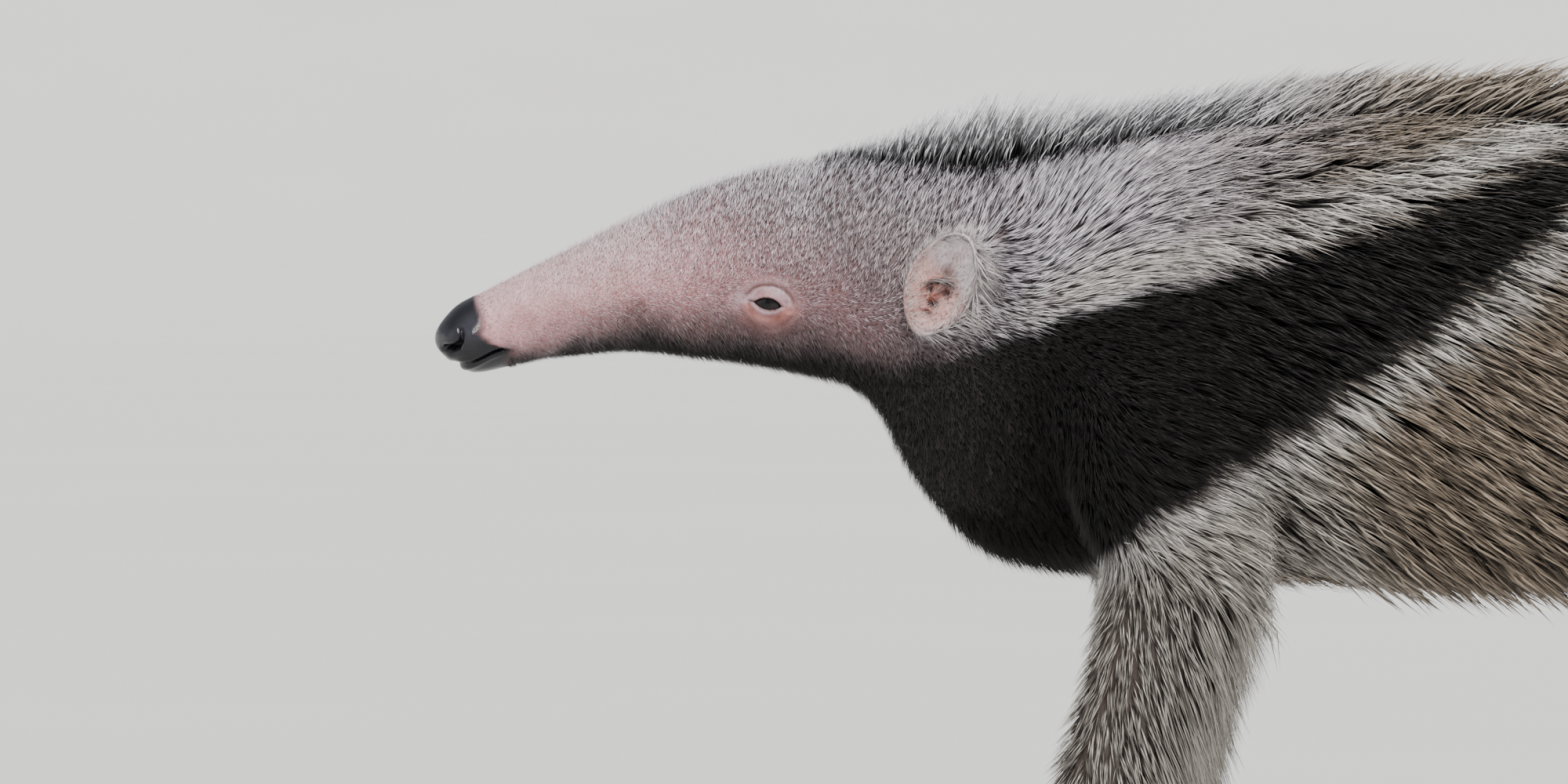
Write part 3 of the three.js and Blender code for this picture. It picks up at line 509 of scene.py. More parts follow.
def shell_faces(rings, corners, start=0, closed=True):
    """The faces of a tube of rings, with its two ends where it is closed."""
    faces = []
    for r in range(rings - 1):
        for c in range(corners):
            d = (c + 1) % corners
            a, b = start + r * corners, start + (r + 1) * corners
            faces.append((a + c, a + d, b + d, b + c))
    if closed:
        faces.append(tuple(start + c for c in range(corners))[::-1])
        faces.append(tuple(start + (rings - 1) * corners + c for c in range(corners)))
    return faces


def ear_shell(side):
    turns = np.linspace(0, 2 * math.pi, EAR_CORNERS, endpoint=False)
    rings = []
    for share in np.sin(np.linspace(0.06, math.pi / 2, EAR_RINGS // 2)):
        a, u = share * EAR_HALF_WIDTH * np.cos(turns), share * EAR_HALF_HEIGHT * np.sin(turns)
        back = -EAR_DEPTH * math.sqrt(max(0, 1 - share**2)) - 0.2
        rings.append(np.stack([a, np.full_like(a, back), u], axis=-1))
    a, u = np.cos(turns), np.sin(turns)
    front = ear_front(a * EAR_HALF_WIDTH, u * EAR_HALF_HEIGHT)
    for share, out in EAR_RIM:
        lift = (out + 0.5 * smooth(0.2, 0.9, u) * (share > 0.92)) * (1 - 0.85 * front)
        rings.append(np.stack([share * EAR_HALF_WIDTH * a, lift, share * EAR_HALF_HEIGHT * u], axis=-1))
    for share in np.linspace(*EAR_INSIDE, EAR_RINGS):
        across, upward = share * EAR_HALF_WIDTH * a, share * EAR_HALF_HEIGHT * u
        inner = np.minimum(ear_floor(across, upward), 0.1)
        rings.append(np.stack([across, inner, upward], axis=-1))
    points = ear_place(np.array(rings), side)
    return points.reshape(-1, 3), shell_faces(len(rings), EAR_CORNERS)


for side in (1, -1):
    a, o, u = ear_local(trunk, side)
    share = np.hypot(a / EAR_HALF_WIDTH, u / EAR_HALF_HEIGHT)
    behind = ear_floor(a, u) - EAR_WALL - 1.2 * (1 - share)
    inside = (share < EAR_OPENING) & (trunk[..., 1] * side > 12) & (o > behind)
    fade = smooth(EAR_OPENING, 0.82, share)
    o_new = np.where(inside, o * (1 - fade) + behind * fade, o)
    moved = ear_place(np.stack([a, o_new, u], axis=-1), side)
    trunk = np.where(inside[..., None], moved, trunk)


# Legs, feet and tail under their coat: round limbs through named joints, each with its half
# size fore and aft and across, and toes on the ground.
LIMB_CORNERS = 30
FORE_STEP = 7
HAND = (178, 37)
HIND_Y = 36
LIMB_DEPTH = [(0, 1.2), (22, 1.6), (40, 3), (80, 4), (120, 4.5), (200, 4.5)]
LIMB_RINGS = 56
SOLE_DEPTH = [(0, 0.8), (9, 0.8)]
SOLE_RINGS = 24
TOE_CORNERS = 18
TOE_RINGS = 12
TOE_DEPTH = 0.4
TOE_GAP = 5.5
HIND_TOE_SIZE = (6.7, 3.3, 4.7)


def limb_rings(joints, side, steps, depth):
    """Rings along a smooth path through the joints (x, y, z, fore, across), less the coat's depth."""
    joints = np.array(joints, float)
    joints[:, 1] *= side
    place = np.linspace(0, 1, len(joints))
    t = np.linspace(0, 1, steps)
    path = np.stack([hermite(place, joints[:, k], t) for k in range(3)], axis=-1)
    along = np.gradient(path, axis=0)
    along /= np.linalg.norm(along, axis=1, keepdims=True)
    across = np.array([0, 1.0, 0]) - along * along[:, 1:2]
    across /= np.linalg.norm(across, axis=1, keepdims=True)
    fore = np.cross(along, across)
    less = linear(depth, path[:, 2])
    fore_size = hermite(place, joints[:, 3], t) - less
    across_size = hermite(place, joints[:, 4], t) - less
    turns = np.linspace(0, 2 * math.pi, LIMB_CORNERS, endpoint=False)
    rings = path[:, None, :] + (
        (across * across_size[:, None])[:, None, :] * np.cos(turns)[None, :, None]
        + (fore * fore_size[:, None])[:, None, :] * np.sin(turns)[None, :, None]
    )
    return rings.reshape(-1, 3), shell_faces(steps, LIMB_CORNERS)


def ball_rings(middle, size):
    turns = np.linspace(0, 2 * math.pi, TOE_CORNERS, endpoint=False)
    rings = []
    for tilt in np.linspace(-math.pi / 2 + 0.08, math.pi / 2 - 0.08, TOE_RINGS):
        rings.append(
            np.stack(
                [
                    middle[0] + size[0] * math.cos(tilt) * np.cos(turns),
                    middle[1] + size[1] * math.cos(tilt) * np.sin(turns),
                    np.full(TOE_CORNERS, middle[2] + size[2] * math.sin(tilt)),
                ],
                axis=-1,
            )
        )
    return np.concatenate(rings), shell_faces(TOE_RINGS, TOE_CORNERS)


def fore_limb(side):
    step = side * FORE_STEP
    return [
        (190, 22, 184, 14, 6),
        (189, 29, 170, 26, 14),
        (190, 34, 145, 28, 18),
        (197, 37, 114, 23, 18),
        (192 + step / 2, 38, 80, 19, 17),
        (HAND[0] + 6 + step, 38, 46, 16, 15),
        (HAND[0] + 1 + step, HAND[1], 20, 17.5, 15.5),
        (HAND[0] + step, HAND[1], -3, 16, 14),
    ]


def hind_limb(side):
    step = -side * FORE_STEP
    return [
        (402, 18, 180, 16, 6),
        (398, 25, 166, 35, 16),
        (392, 31, 138, 37, 20),
        (386, 35, 106, 28, 19),
        (393 + step / 2, HIND_Y, 74, 20, 16.5),
        (402 + step, HIND_Y, 42, 16, 14.5),
        (403 + step, HIND_Y, 16, 15, 13.5),
        (402 + step, HIND_Y, -3, 14, 12.5),
    ]


def hind_sole(side):
    step = -side * FORE_STEP
    return [
        (420 + step, HIND_Y, 8, 6, 7),
        (408 + step, HIND_Y, 9, 12, 12),
        (388 + step, HIND_Y, 9, 12, 13.5),
        (369 + step, HIND_Y, 6.5, 9.5, 14.5),
        (357 + step, HIND_Y, 5, 5.5, 13),
    ]


# The knuckles of a hand: how far back, across and up from the palm, and their half size.
HAND_TOES = [(2, -13, 18, 4), (-9, -10.5, 14, 5.4), (-14, -5, 9.5, 6), (-12.5, 4.5, 9, 5.2)]
TAIL = [
    (424, 168, 20, 20, 19),
    (458, 163, 21, 26, 20),
    (500, 153, 16, 29, 16),
    (560, 139, 13, 31, 13),
    (620, 125, 11, 29, 11),
    (670, 113, 8, 20, 8),
    (700, 105, 3, 7, 3),
]
TAIL_SPAN = (432, 699)
TAIL_RINGS = 70
TAIL_UNDER_COAT = 0.9


def hind_toe(side, toe):
    """The middle of one of the five toes of a hind foot."""
    fan = toe - 2
    return (356 - side * FORE_STEP + abs(fan) * 1.8, side * (HIND_Y + fan * TOE_GAP), 4.6)


def tail_section(x):
    """Middle height, reach up, reach down and half width of the plume's outline at x."""
    columns = np.array(TAIL, float).T
    return [hermite(columns[0], columns[k], x) for k in (1, 2, 3, 4)]


def tail_rings():
    x = np.linspace(*TAIL_SPAN, TAIL_RINGS)
    z, up, down, half = tail_section(x)
    turns = np.linspace(0, 2 * math.pi, LIMB_CORNERS, endpoint=False)
    lift = np.where(np.sin(turns)[None, :] > 0, up[:, None], down[:, None])
    rings = np.stack(
        [
            np.repeat(x[:, None], LIMB_CORNERS, axis=1),
            half[:, None] * np.cos(turns)[None, :] * TAIL_UNDER_COAT,
            z[:, None] + lift * np.sin(turns)[None, :] * TAIL_UNDER_COAT,
        ],
        axis=-1,
    )
    return rings.reshape(-1, 3), shell_faces(TAIL_RINGS, LIMB_CORNERS)


def mesh_object(name, points, faces):
    mesh = bpy.data.meshes.new(name)
    mesh.from_pydata(np.asarray(points).tolist(), [], faces)
    work = bmesh.new()
    work.from_mesh(mesh)
    bmesh.ops.recalc_face_normals(work, faces=work.faces)
    work.to_mesh(mesh)
    work.free()
    piece = bpy.data.objects.new(name, mesh)
    bpy.context.collection.objects.link(piece)
    return piece


tip = np.array([[0, 0, NOSE_TIP_Z]])
trunk_points = np.concatenate([trunk.reshape(-1, 3), tip, trunk[-1].mean(0, keepdims=True)])
trunk_faces = shell_faces(len(ring_x), len(turns), closed=False)
corners = len(turns)
last = (len(ring_x) - 1) * corners
for c in range(corners):
    d = (c + 1) % corners
    trunk_faces.append((len(trunk_points) - 2, d, c))
    trunk_faces.append((len(trunk_points) - 1, last + c, last + d))
skin = mesh_object("skin", trunk_points, trunk_faces)
flesh = []
for side in (1, -1):
    flesh.append(mesh_object("ear_work", *ear_shell(side)))
    flesh.append(mesh_object("limb_work", *limb_rings(fore_limb(side), side, LIMB_RINGS, LIMB_DEPTH)))
    flesh.append(mesh_object("limb_work", *limb_rings(hind_limb(side), side, LIMB_RINGS, LIMB_DEPTH)))
    flesh.append(mesh_object("limb_work", *limb_rings(hind_sole(side), side, SOLE_RINGS, SOLE_DEPTH)))
    for x, y, z, size in HAND_TOES:
        place = (HAND[0] + x + side * FORE_STEP, side * (HAND[1] + y), z)
        flesh.append(mesh_object("toe_work", *ball_rings(place, (size - TOE_DEPTH,) * 3)))
    for toe in range(5):
        flesh.append(mesh_object("toe_work", *ball_rings(hind_toe(side, toe), HIND_TOE_SIZE)))
flesh.append(mesh_object("tail_work", *tail_rings()))
gathered = bpy.data.collections.new("flesh_work")
bpy.context.scene.collection.children.link(gathered)
for piece in flesh:
    gathered.objects.link(piece)
union = skin.modifiers.new("union", "BOOLEAN")
union.operation = "UNION"
union.operand_type = "COLLECTION"
union.collection = gathered
union.solver = "MANIFOLD"
evaluated = skin.evaluated_get(bpy.context.evaluated_depsgraph_get())
whole_mesh = bpy.data.meshes.new_from_object(evaluated)
skin.modifiers.clear()
for piece in flesh:
    bpy.data.objects.remove(piece)
bpy.data.collections.remove(gathered)
skin.data = whole_mesh
skin.data.name = "skin"

# The skin's finish. The joins of the limbs are eased, the soles are pressed flat on the floor,
# and the whole is coloured by the animal's markings, which the coat below repeats, with some
# light and shade painted on the face and ears.
EASE_TURNS = 14
EASE_SPREAD = 4
EASE_SHARE = 0.6
SHARP = 0.4
HEAD_END = 150
# In side view: the upper edge of the black of jaw, throat and shoulder stripe, and the stripe's
# lower edge.
BLACK_EDGE = [(10, 160), (15, 168.4), (21, 168.6), (30.5, 169), (45, 172.4), (56, 173.2), (72.5, 171.6)]
BLACK_EDGE += [(93, 170), (108, 168), (120, 166), (132, 166), (160, 176), (305, 224), (330, 140)]
STRIPE_FOOT = [(120, 20), (146, 84), (160, 106), (300, 214), (306, 224), (330, 300)]
BORDER_WIDTH = 7
SKIN_ROUGHNESS = 0.56
PAD_ROUGHNESS = 0.2
PORE_DEPTH = 0.00016
BLOTCHES = [(0.34, (0.78, 0.66, 0.63, 1)), (0.64, (1.08, 1.06, 1.08, 1))]
SPECKS = [(0.5, (0, 0, 0, 1)), (0.62, (1, 1, 1, 1))]


def paint(code):
    """A colour written as six hexadecimal digits, made linear."""
    parts = [int(code[i : i + 2], 16) / 255 for i in (0, 2, 4)]
    return tuple(p / 12.92 if p < 0.04045 else ((p + 0.055) / 1.055) ** 2.4 for p in parts)


SKIN_PINK = paint("c99396")
# Painted light: the paler skin on top of the snout.
SKIN_TOP_LIGHT = paint("e0bfc3")
SKIN_MAUVE = paint("a0777b")
SKIN_GREY = paint("615659")
SKIN_DARK = paint("241f1e")
# Partly the jaw's own dark, partly painted shade under the snout.
SKIN_JAW_SHADE = paint("564442")
SKIN_LEG = paint("4f4843")
SKIN_SOLE = paint("352d2b")
PAD_BLACK = paint("0c0c11")
# Painted sheen on the nose pad.
PAD_SHEEN = paint("33333d")
LID_PALE = paint("c9b4bc")
LID_PINK = paint("bb8078")
LID_DARK = paint("2b2022")
LID_CREASE = paint("7d544b")
EAR_PINK = paint("d2aea9")
# Painted shade in the ear's cup.
EAR_CUP_SHADE = paint("b06a55")
# Painted shade in the pits of the ear's cup.
EAR_PIT_SHADE = paint("4b3029")
EAR_PALE = paint("fdf6f8")
FRECKLE = paint("6b4239")


def wobble(p):
    """An uneven shift, in millimetres, that makes the markings' edges ragged."""
    x, y, z = p[:, 0], p[:, 1], p[:, 2]
    slow = np.sin(x * 0.29 + z * 0.17 + y * 0.05) * 1.5
    fast = np.sin(x * 0.71 - z * 0.43 + y * 0.21) + 0.7 * np.sin(x * 1.3 + z * 1.1 - y * 0.9)
    return slow + fast


def mixed(first, second, share):
    share = np.clip(share, 0, 1)[:, None]
    return np.asarray(first) * (1 - share) + np.asarray(second) * share


def marks(p):
    """Where each marking lies, from none (0) to whole (1)."""
    x, y, z = p[:, 0], p[:, 1], p[:, 2]
    w = wobble(p)
    trunk_like = 1 - smooth(318, 335, x)
    edge = linear(BLACK_EDGE, x) - z
    foot = z - linear(STRIPE_FOOT, x)
    soft = 2.4 - 0.9 * smooth(112, 140, x)
    over_foot = smooth(-1.2, 1.2, (foot + w * 0.7) / soft)
    black = smooth(-1.4, 1.2, (edge + w * 0.4) / soft) * over_foot * trunk_like
    on_tail = smooth(452, 470, x)
    upper = bump(edge + BORDER_WIDTH * 0.8, BORDER_WIDTH * 0.75) * smooth(140, 175, x) * smooth(313, 303, x)
    lower = bump(foot + BORDER_WIDTH * 0.7, BORDER_WIDTH * 0.8) * smooth(150, 175, x) * smooth(326, 312, x)
    white = np.clip(upper + lower, 0, 1) * (1 - black)
    front = smooth(268, 232, x + 0.25 * (z - 60) + w)
    leg_pale = front * smooth(2, 12, -foot + w) * smooth(150, 168, x) * smooth(6, 20, np.abs(y))
    band = bump(z - 34 - 0.15 * w, 7) + smooth(13, 9, z)
    leg_pale = leg_pale * (1 - np.clip(band, 0, 1) * smooth(60, 50, z))
    hind = smooth(118, 92, z + w) * smooth(300, 330, x) * (1 - on_tail)
    return {"black": black, "white": white, "leg": leg_pale, "hind": hind, "tail": on_tail}


def coordinates(mesh):
    points = np.empty(len(mesh.vertices) * 3, np.float32)
    mesh.vertices.foreach_get("co", points)
    return points.reshape(-1, 3).astype(float)


def edge_pairs(mesh):
    pairs = np.empty(len(mesh.edges) * 2, np.int32)
    mesh.edges.foreach_get("vertices", pairs)
    return pairs.reshape(-1, 2)


def neighbour_mean(points, pairs, count):
    total = np.zeros_like(points)
    np.add.at(total, pairs[:, 0], points[pairs[:, 1]])
    np.add.at(total, pairs[:, 1], points[pairs[:, 0]])
    return total / np.maximum(count, 1)[:, None]


points = coordinates(whole_mesh)
pairs = edge_pairs(whole_mesh)
count = np.bincount(pairs.ravel(), minlength=len(points)).astype(float)
work = bmesh.new()
work.from_mesh(whole_mesh)
sharp = np.zeros(len(points))
for edge in work.edges:
    if len(edge.link_faces) == 2 and edge.calc_face_angle() > SHARP:
        for vertex in edge.verts:
            sharp[vertex.index] = 1
work.free()
sharp[points[:, 0] < HEAD_END] = 0
for _ in range(EASE_SPREAD):
    sharp = np.maximum(sharp, neighbour_mean(sharp[:, None], pairs, count)[:, 0] > 0.05)
sharp[points[:, 0] < HEAD_END - 4] = 0
for _ in range(EASE_TURNS):
    moved = neighbour_mean(points, pairs, count)
    points += (moved - points) * (EASE_SHARE * sharp)[:, None]
points[:, 2] = np.maximum(points[:, 2], 0)
skin_points = points


def to_frame(p):
    """Moves points in millimetres from the nose tip to the shared frame."""
    return np.stack([NOSE_X + p[..., 0] * MM, p[..., 1] * MM, p[..., 2] * MM], axis=-1)


def put_points(mesh, p):
    mesh.vertices.foreach_set("co", to_frame(p).astype(np.float32).ravel())
    mesh.update()


def put_colour(mesh, name, colours):
    layer = mesh.attributes.new(name, "FLOAT_COLOR", "POINT")
    full = np.ones((len(colours), 4), np.float32)
    full[:, :3] = colours
    layer.data.foreach_set("color", full.ravel())


def put_number(mesh, name, values):
    layer = mesh.attributes.new(name, "FLOAT", "POINT")
    layer.data.foreach_set("value", np.asarray(values, np.float32))


def eye_fields(p):
    """Near an eye: distance outside the slit, oval distance, and the place along and across."""
    u, v = eye_plane(p[:, 0], p[:, 2])
    near = (np.abs(p[:, 1]) > 12) & (np.abs(p[:, 0] - EYE[0]) < 14)
    edge = np.where(near, slit_edge(u, v), 99)
    return edge, np.where(near, np.hypot(u / LID_OVAL, v), 99), u, v


def ear_fields(p):
    """For the nearer ear: share of the way from its middle to its rim, then across, out and up."""
    a, o, u = ear_local(np.stack([p[:, 0], np.abs(p[:, 1]), p[:, 2]], axis=-1), 1)
    share = np.hypot(a / EAR_HALF_WIDTH, u / EAR_HALF_HEIGHT)
    return np.where(np.abs(p[:, 1]) > 14, share, 9), a, o, u


def pad_share(p):
    """How far a point lies on the bare black nose and lips."""
    x, z = p[:, 0], p[:, 2]
    limit = np.where(z < 168.8, edge_at(z, CHIN_EDGE), edge_at(z, PAD_EDGE))
    return smooth(2.0, -1.3, x - limit + 0.14 * wobble(p * 3))


def freckles(p):
    """How far the skin is mottled: on the snout and cheeks, and low in the ears."""
    x, _, z = p.T
    near_pad = 0.34 + 0.4 * smooth(7, 1, x - edge_at(z, PAD_EDGE))
    face = near_pad * smooth(8, 12, x) * smooth(135, 110, x) * (1 - marks(p)["black"])
    share, a, o, u = ear_fields(p)
    inner = smooth(1.0, 0.9, share) * smooth(0.9, 0.2, o)
    face = face * (1 - inner) * (1 - pad_share(p))
    return np.clip(face + inner * smooth(7, -3, u - 0.4 * a) * 0.85, 0, 1)


def skin_tones(p):
    """The skin's colour: the face and its markings, then the eyes, the ears and the nose pad, with painted
    light on top of the snout, painted shade under it and in the ears' hollows, and a painted sheen on the
    nose pad.
    """
    x, _, z = p.T
    m = marks(p)
    w = wobble(p)
    # Painted light: the skin on top of the snout is paler, as light from above falls on it.
    painted_top_light = smooth(-0.3, 0.8, (z - trunk_section(np.clip(x, 1, 467))[0]) / 20)
    tone = mixed(SKIN_PINK, SKIN_TOP_LIGHT, painted_top_light * 0.8 * smooth(95, 45, x))
    tone = mixed(tone, SKIN_MAUVE, 0.85 * smooth(50, 84, x + 0.5 * (z - 190) + w))
    # Darker under the snout towards the black of the jaw: partly the jaw's own dark skin, partly painted
    # shade on the snout's underside.
    jaw = linear(BLACK_EDGE, x) + 7 - z
    shaded = smooth(-5, 5, jaw + 0.6 * w) * smooth(22, 60, x) * smooth(150, 130, x)
    tone = mixed(tone, SKIN_JAW_SHADE, 0.8 * shaded)
    tone = mixed(tone, SKIN_GREY, smooth(60, 118, x + 1.1 * (z - 196) + w) * smooth(48, 84, x))
    tone = mixed(tone, SKIN_DARK, np.clip(m["black"] * 0.95 + smooth(150, 195, x), 0, 1))
    tone = mixed(tone, SKIN_LEG, np.maximum(m["leg"] * 0.8, smooth(90, 70, z)))
    tone = mixed(tone, SKIN_SOLE, smooth(30, 14, z) * 0.85)
    past_pad = x - edge_at(z, PAD_EDGE)
    tone = mixed(tone, SKIN_SOLE, 0.4 * smooth(3.4, 0, past_pad + 0.2 * w) * smooth(186, 178, z))
    tone = mixed(tone, SKIN_SOLE, smooth(1.2, 0.1, z))
    edge, oval, u, v = eye_fields(p)
    ring = bump(oval - 4.7, 1.5) * smooth(-1.5, 1.2, v) + 0.8 * bump(np.hypot(u + 7.2, v - 0.2), 2.2)
    tone = mixed(tone, LID_PALE, 0.75 * np.clip(ring, 0, 1))
    tone = mixed(tone, LID_PINK, 0.85 * bump(oval - 4.1, 1.0) * smooth(0.5, -1.5, v))
    tone = mixed(tone, LID_PINK, 0.7 * bump(np.hypot(u - 6.4, (v + 0.6) * 1.2), 2.3))
    tone = mixed(tone, LID_CREASE, 0.75 * bump(oval - 5.3 - 0.05 * u, 0.38) * smooth(0, 2.5, v))
    tone = mixed(tone, LID_CREASE, 0.5 * bump(oval - 6.0, 0.45) * smooth(0, -2.5, v))
    tone = mixed(tone, LID_PALE, 0.9 * bump(edge - 0.7, 0.4) * smooth(0.6, -0.8, v))
    tone = mixed(tone, LID_DARK, 0.92 * smooth(0.42, 0.12, edge) * smooth(-1.0, 0.4, v))
    tone = mixed(tone, LID_DARK, 0.7 * smooth(0.2, 0.0, edge))
    along = smooth(3, 3.6, np.abs(u)) * smooth(6.4, 4.5, np.where(u < 0, -u, u + 1.6))
    tone = mixed(tone, LID_DARK, 0.85 * bump(v - 0.2, 0.35) * along * (oval < 7))
    share, a, o, u = ear_fields(p)
    inner = smooth(1.0, 0.94, share) * smooth(0.9, 0.2, o)
    tone = mixed(tone, EAR_PINK, inner * (1 - 0.35 * ear_front(a, u) * smooth(0.6, 1, share)))
    tone = mixed(tone, EAR_PALE, inner * smooth(-1, 6, u + 0.5 * a) * 0.95)
    # Painted shade: brown in the canal deep in the cup, and over the upper cup above the fold.
    tone = mixed(tone, EAR_CUP_SHADE, inner * 0.85 * bump(np.hypot((a + 1.6) / 1.1, (u + 5) / 1.7), 2.9))
    fold, across = ear_fold(a, u)
    tone = mixed(tone, EAR_CUP_SHADE, inner * 0.4 * bump(np.hypot((a + 2) / 3.6, (fold - 2.2) / 2.4), 1))
    # Painted shade: dark in the groove of the fold and in the pits of the cup.
    pit_shade = bump(fold, 0.7) * across
    for back, high, wide, tall, out in EAR_LUMPS:
        if out < 0:
            pit_shade += 1.1 * bump(np.hypot((a - back) / wide, (u - high) / tall), 1)
    tone = mixed(tone, EAR_PIT_SHADE, inner * np.clip(pit_shade, 0, 1) * 0.85)
    rim = smooth(0.9, 0.98, share) * smooth(-0.8, 0.6, o) * (share < 1.1) * (1 - ear_front(a, u))
    tone = mixed(tone, EAR_PALE, rim * 0.6)
    # Painted sheen: a paler blue-grey patch on the pad's side above the back wing and a smaller one on the
    # front wing, where light glints.
    painted_sheen = bump(np.hypot(x - 10.4, (z - 174.6) / 1.5), 3) + 0.6 * knob(x, z, (3.6, 172), 2.4)
    pad = mixed(np.repeat([PAD_BLACK], len(p), axis=0), PAD_SHEEN, np.clip(painted_sheen, 0, 1))
    return mixed(tone, pad, pad_share(p))


put_points(whole_mesh, skin_points)
put_colour(whole_mesh, "tone", skin_tones(skin_points))
put_number(whole_mesh, "wet", pad_share(skin_points))
put_number(whole_mesh, "freckle", freckles(skin_points))
whole_mesh.shade_smooth()


def attribute_node(nodes, label):
    node = nodes.new("ShaderNodeAttribute")
    node.attribute_name = label
    return node


def shaded_by(nodes, links, tone, shades):
    """A colour made lighter and darker by the colours of a ramp."""
    product = nodes.new("ShaderNodeMix")
    product.data_type = "RGBA"
    product.blend_type = "MULTIPLY"
    product.inputs["Factor"].default_value = 1
    links.new(tone, product.inputs["A"])
    links.new(shades.outputs["Color"], product.inputs["B"])
    return product.outputs["Result"]


def roughened(nodes, links, shader, height, strength, depth):
    """Fine relief on a surface, worked by its light alone."""
    relief = nodes.new("ShaderNodeBump")
    relief.inputs["Strength"].default_value = strength
    relief.inputs["Distance"].default_value = depth
    links.new(height, relief.inputs["Height"])
    links.new(relief.outputs["Normal"], shader.inputs["Normal"])


skin_look, nodes, links, shader = new_material("bare_skin")
tone = attribute_node(nodes, "tone")
wet = attribute_node(nodes, "wet")
blotch = noise_node(nodes, links, 180, 5, rough=0.6)
shades = ramp_node(nodes, links, blotch.outputs["Fac"], BLOTCHES)
tinted = shaded_by(nodes, links, tone.outputs["Color"], shades)
mottle = noise_node(nodes, links, 950, 4, rough=0.65)
specks = ramp_node(nodes, links, mottle.outputs["Fac"], SPECKS)
freckle = attribute_node(nodes, "freckle")
dotted = nodes.new("ShaderNodeMath")
dotted.operation = "MULTIPLY"
links.new(specks.outputs["Color"], dotted.inputs[0])
links.new(freckle.outputs["Fac"], dotted.inputs[1])
mottled = nodes.new("ShaderNodeMix")
mottled.data_type = "RGBA"
links.new(dotted.outputs["Value"], mottled.inputs["Factor"])
links.new(tinted, mottled.inputs["A"])
mottled.inputs["B"].default_value = FRECKLE + (1,)
links.new(mottled.outputs["Result"], shader.inputs["Base Color"])
rough = nodes.new("ShaderNodeMapRange")
rough.inputs["To Min"].default_value = SKIN_ROUGHNESS
rough.inputs["To Max"].default_value = PAD_ROUGHNESS
links.new(wet.outputs["Fac"], rough.inputs["Value"])
links.new(rough.outputs["Result"], shader.inputs["Roughness"])
pebbles = nodes.new("ShaderNodeTexVoronoi")
pebbles.inputs["Scale"].default_value = 3400
links.new(nodes.new("ShaderNodeTexCoord").outputs["Object"], pebbles.inputs["Vector"])
pores = noise_node(nodes, links, 1500, 6, rough=0.7)
relief = nodes.new("ShaderNodeMix")
links.new(wet.outputs["Fac"], relief.inputs["Factor"])
links.new(pores.outputs["Fac"], relief.inputs["A"])
links.new(pebbles.outputs["Distance"], relief.inputs["B"])
roughened(nodes, links, shader, relief.outputs["Result"], 0.3, PORE_DEPTH)
shader.inputs["Specular IOR Level"].default_value = 0.4
shader.inputs["Subsurface Weight"].default_value = 0.12
shader.inputs["Subsurface Radius"].default_value = (0.003, 0.0012, 0.0008)
whole_mesh.materials.clear()
whole_mesh.materials.append(skin_look)
flesh_nodes = ["nose_pad", "lower_jaw", "snout", "head", "neck", "torso", "tail"]
paired_nodes = ["ear", "upper_arm", "forearm", "hand", "thigh", "shank", "foot"]
for name in ("right", "left"):
    flesh_nodes += [f"{part}_{name}" for part in paired_nodes]
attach(skin, "root")
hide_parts(*flesh_nodes)

# Eyes
# Two dark wet balls, brown round a black pupil, sunk behind the lids. A clear wet coat gives
# them their light.
EYE_TURNS = 40
EYE_RINGS = 26
IRIS_REACH = 0.62
PUPIL_REACH = 0.3
EYE_AIM = (-0.12, 1, 0.02)
EYE_BANDS = [
    (PUPIL_REACH, (0.0015, 0.0015, 0.002, 1)),
    (PUPIL_REACH + 0.06, (0.009, 0.006, 0.007, 1)),
    (IRIS_REACH, (0.011, 0.0075, 0.007, 1)),
    (IRIS_REACH + 0.08, (0.012, 0.012, 0.018, 1)),
]


def banded(nodes, links, label, streaks, stir, bands):
    """Bands of colour along an attribute, their edges stirred by streaks of noise."""
    stirred = nodes.new("ShaderNodeMath")
    stirred.operation = "MULTIPLY_ADD"
    stirred.inputs[1].default_value = stir
    links.new(streaks.outputs["Fac"], stirred.inputs[0])
    links.new(attribute_node(nodes, label).outputs["Fac"], stirred.inputs[2])
    return ramp_node(nodes, links, stirred.outputs["Value"], bands).outputs["Color"]


eye_look, nodes, links, shader = new_material("wet_eye")
streaks = noise_node(nodes, links, 900, 4)
links.new(banded(nodes, links, "gaze", streaks, 0.08, EYE_BANDS), shader.inputs["Base Color"])
shader.inputs["Roughness"].default_value = 0.2
shader.inputs["Specular IOR Level"].default_value = 0.12
shader.inputs["Coat Weight"].default_value = 0.35
shader.inputs["Coat Roughness"].default_value = 0.04
turns = np.linspace(0, 2 * math.pi, EYE_TURNS, endpoint=False)
rings = []
for tilt in np.linspace(0.04, math.pi - 0.04, EYE_RINGS):
    across, upward = np.sin(tilt) * np.cos(turns), np.sin(tilt) * np.sin(turns)
    rings.append(np.stack([across, np.full(EYE_TURNS, math.cos(tilt)), upward], axis=-1))
local = np.concatenate(rings)
for name, side in (("right", 1), ("left", -1)):
    middle = np.array([EYE[0], EYE[1] * side, EYE[2]])
    ball = mesh_object(f"eyeball_{name}", local, shell_faces(EYE_RINGS, EYE_TURNS))
    axis = np.array([EYE_AIM[0], EYE_AIM[1] * side, EYE_AIM[2]])
    axis /= np.linalg.norm(axis)
    put_number(ball.data, "gaze", np.arccos(np.clip(local @ axis, -1, 1)))
    put_points(ball.data, middle + local * EYE_RADIUS)
    ball.data.shade_smooth()
    ball.data.materials.append(eye_look)
    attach(ball, "root")
    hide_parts(f"eye_{name}")

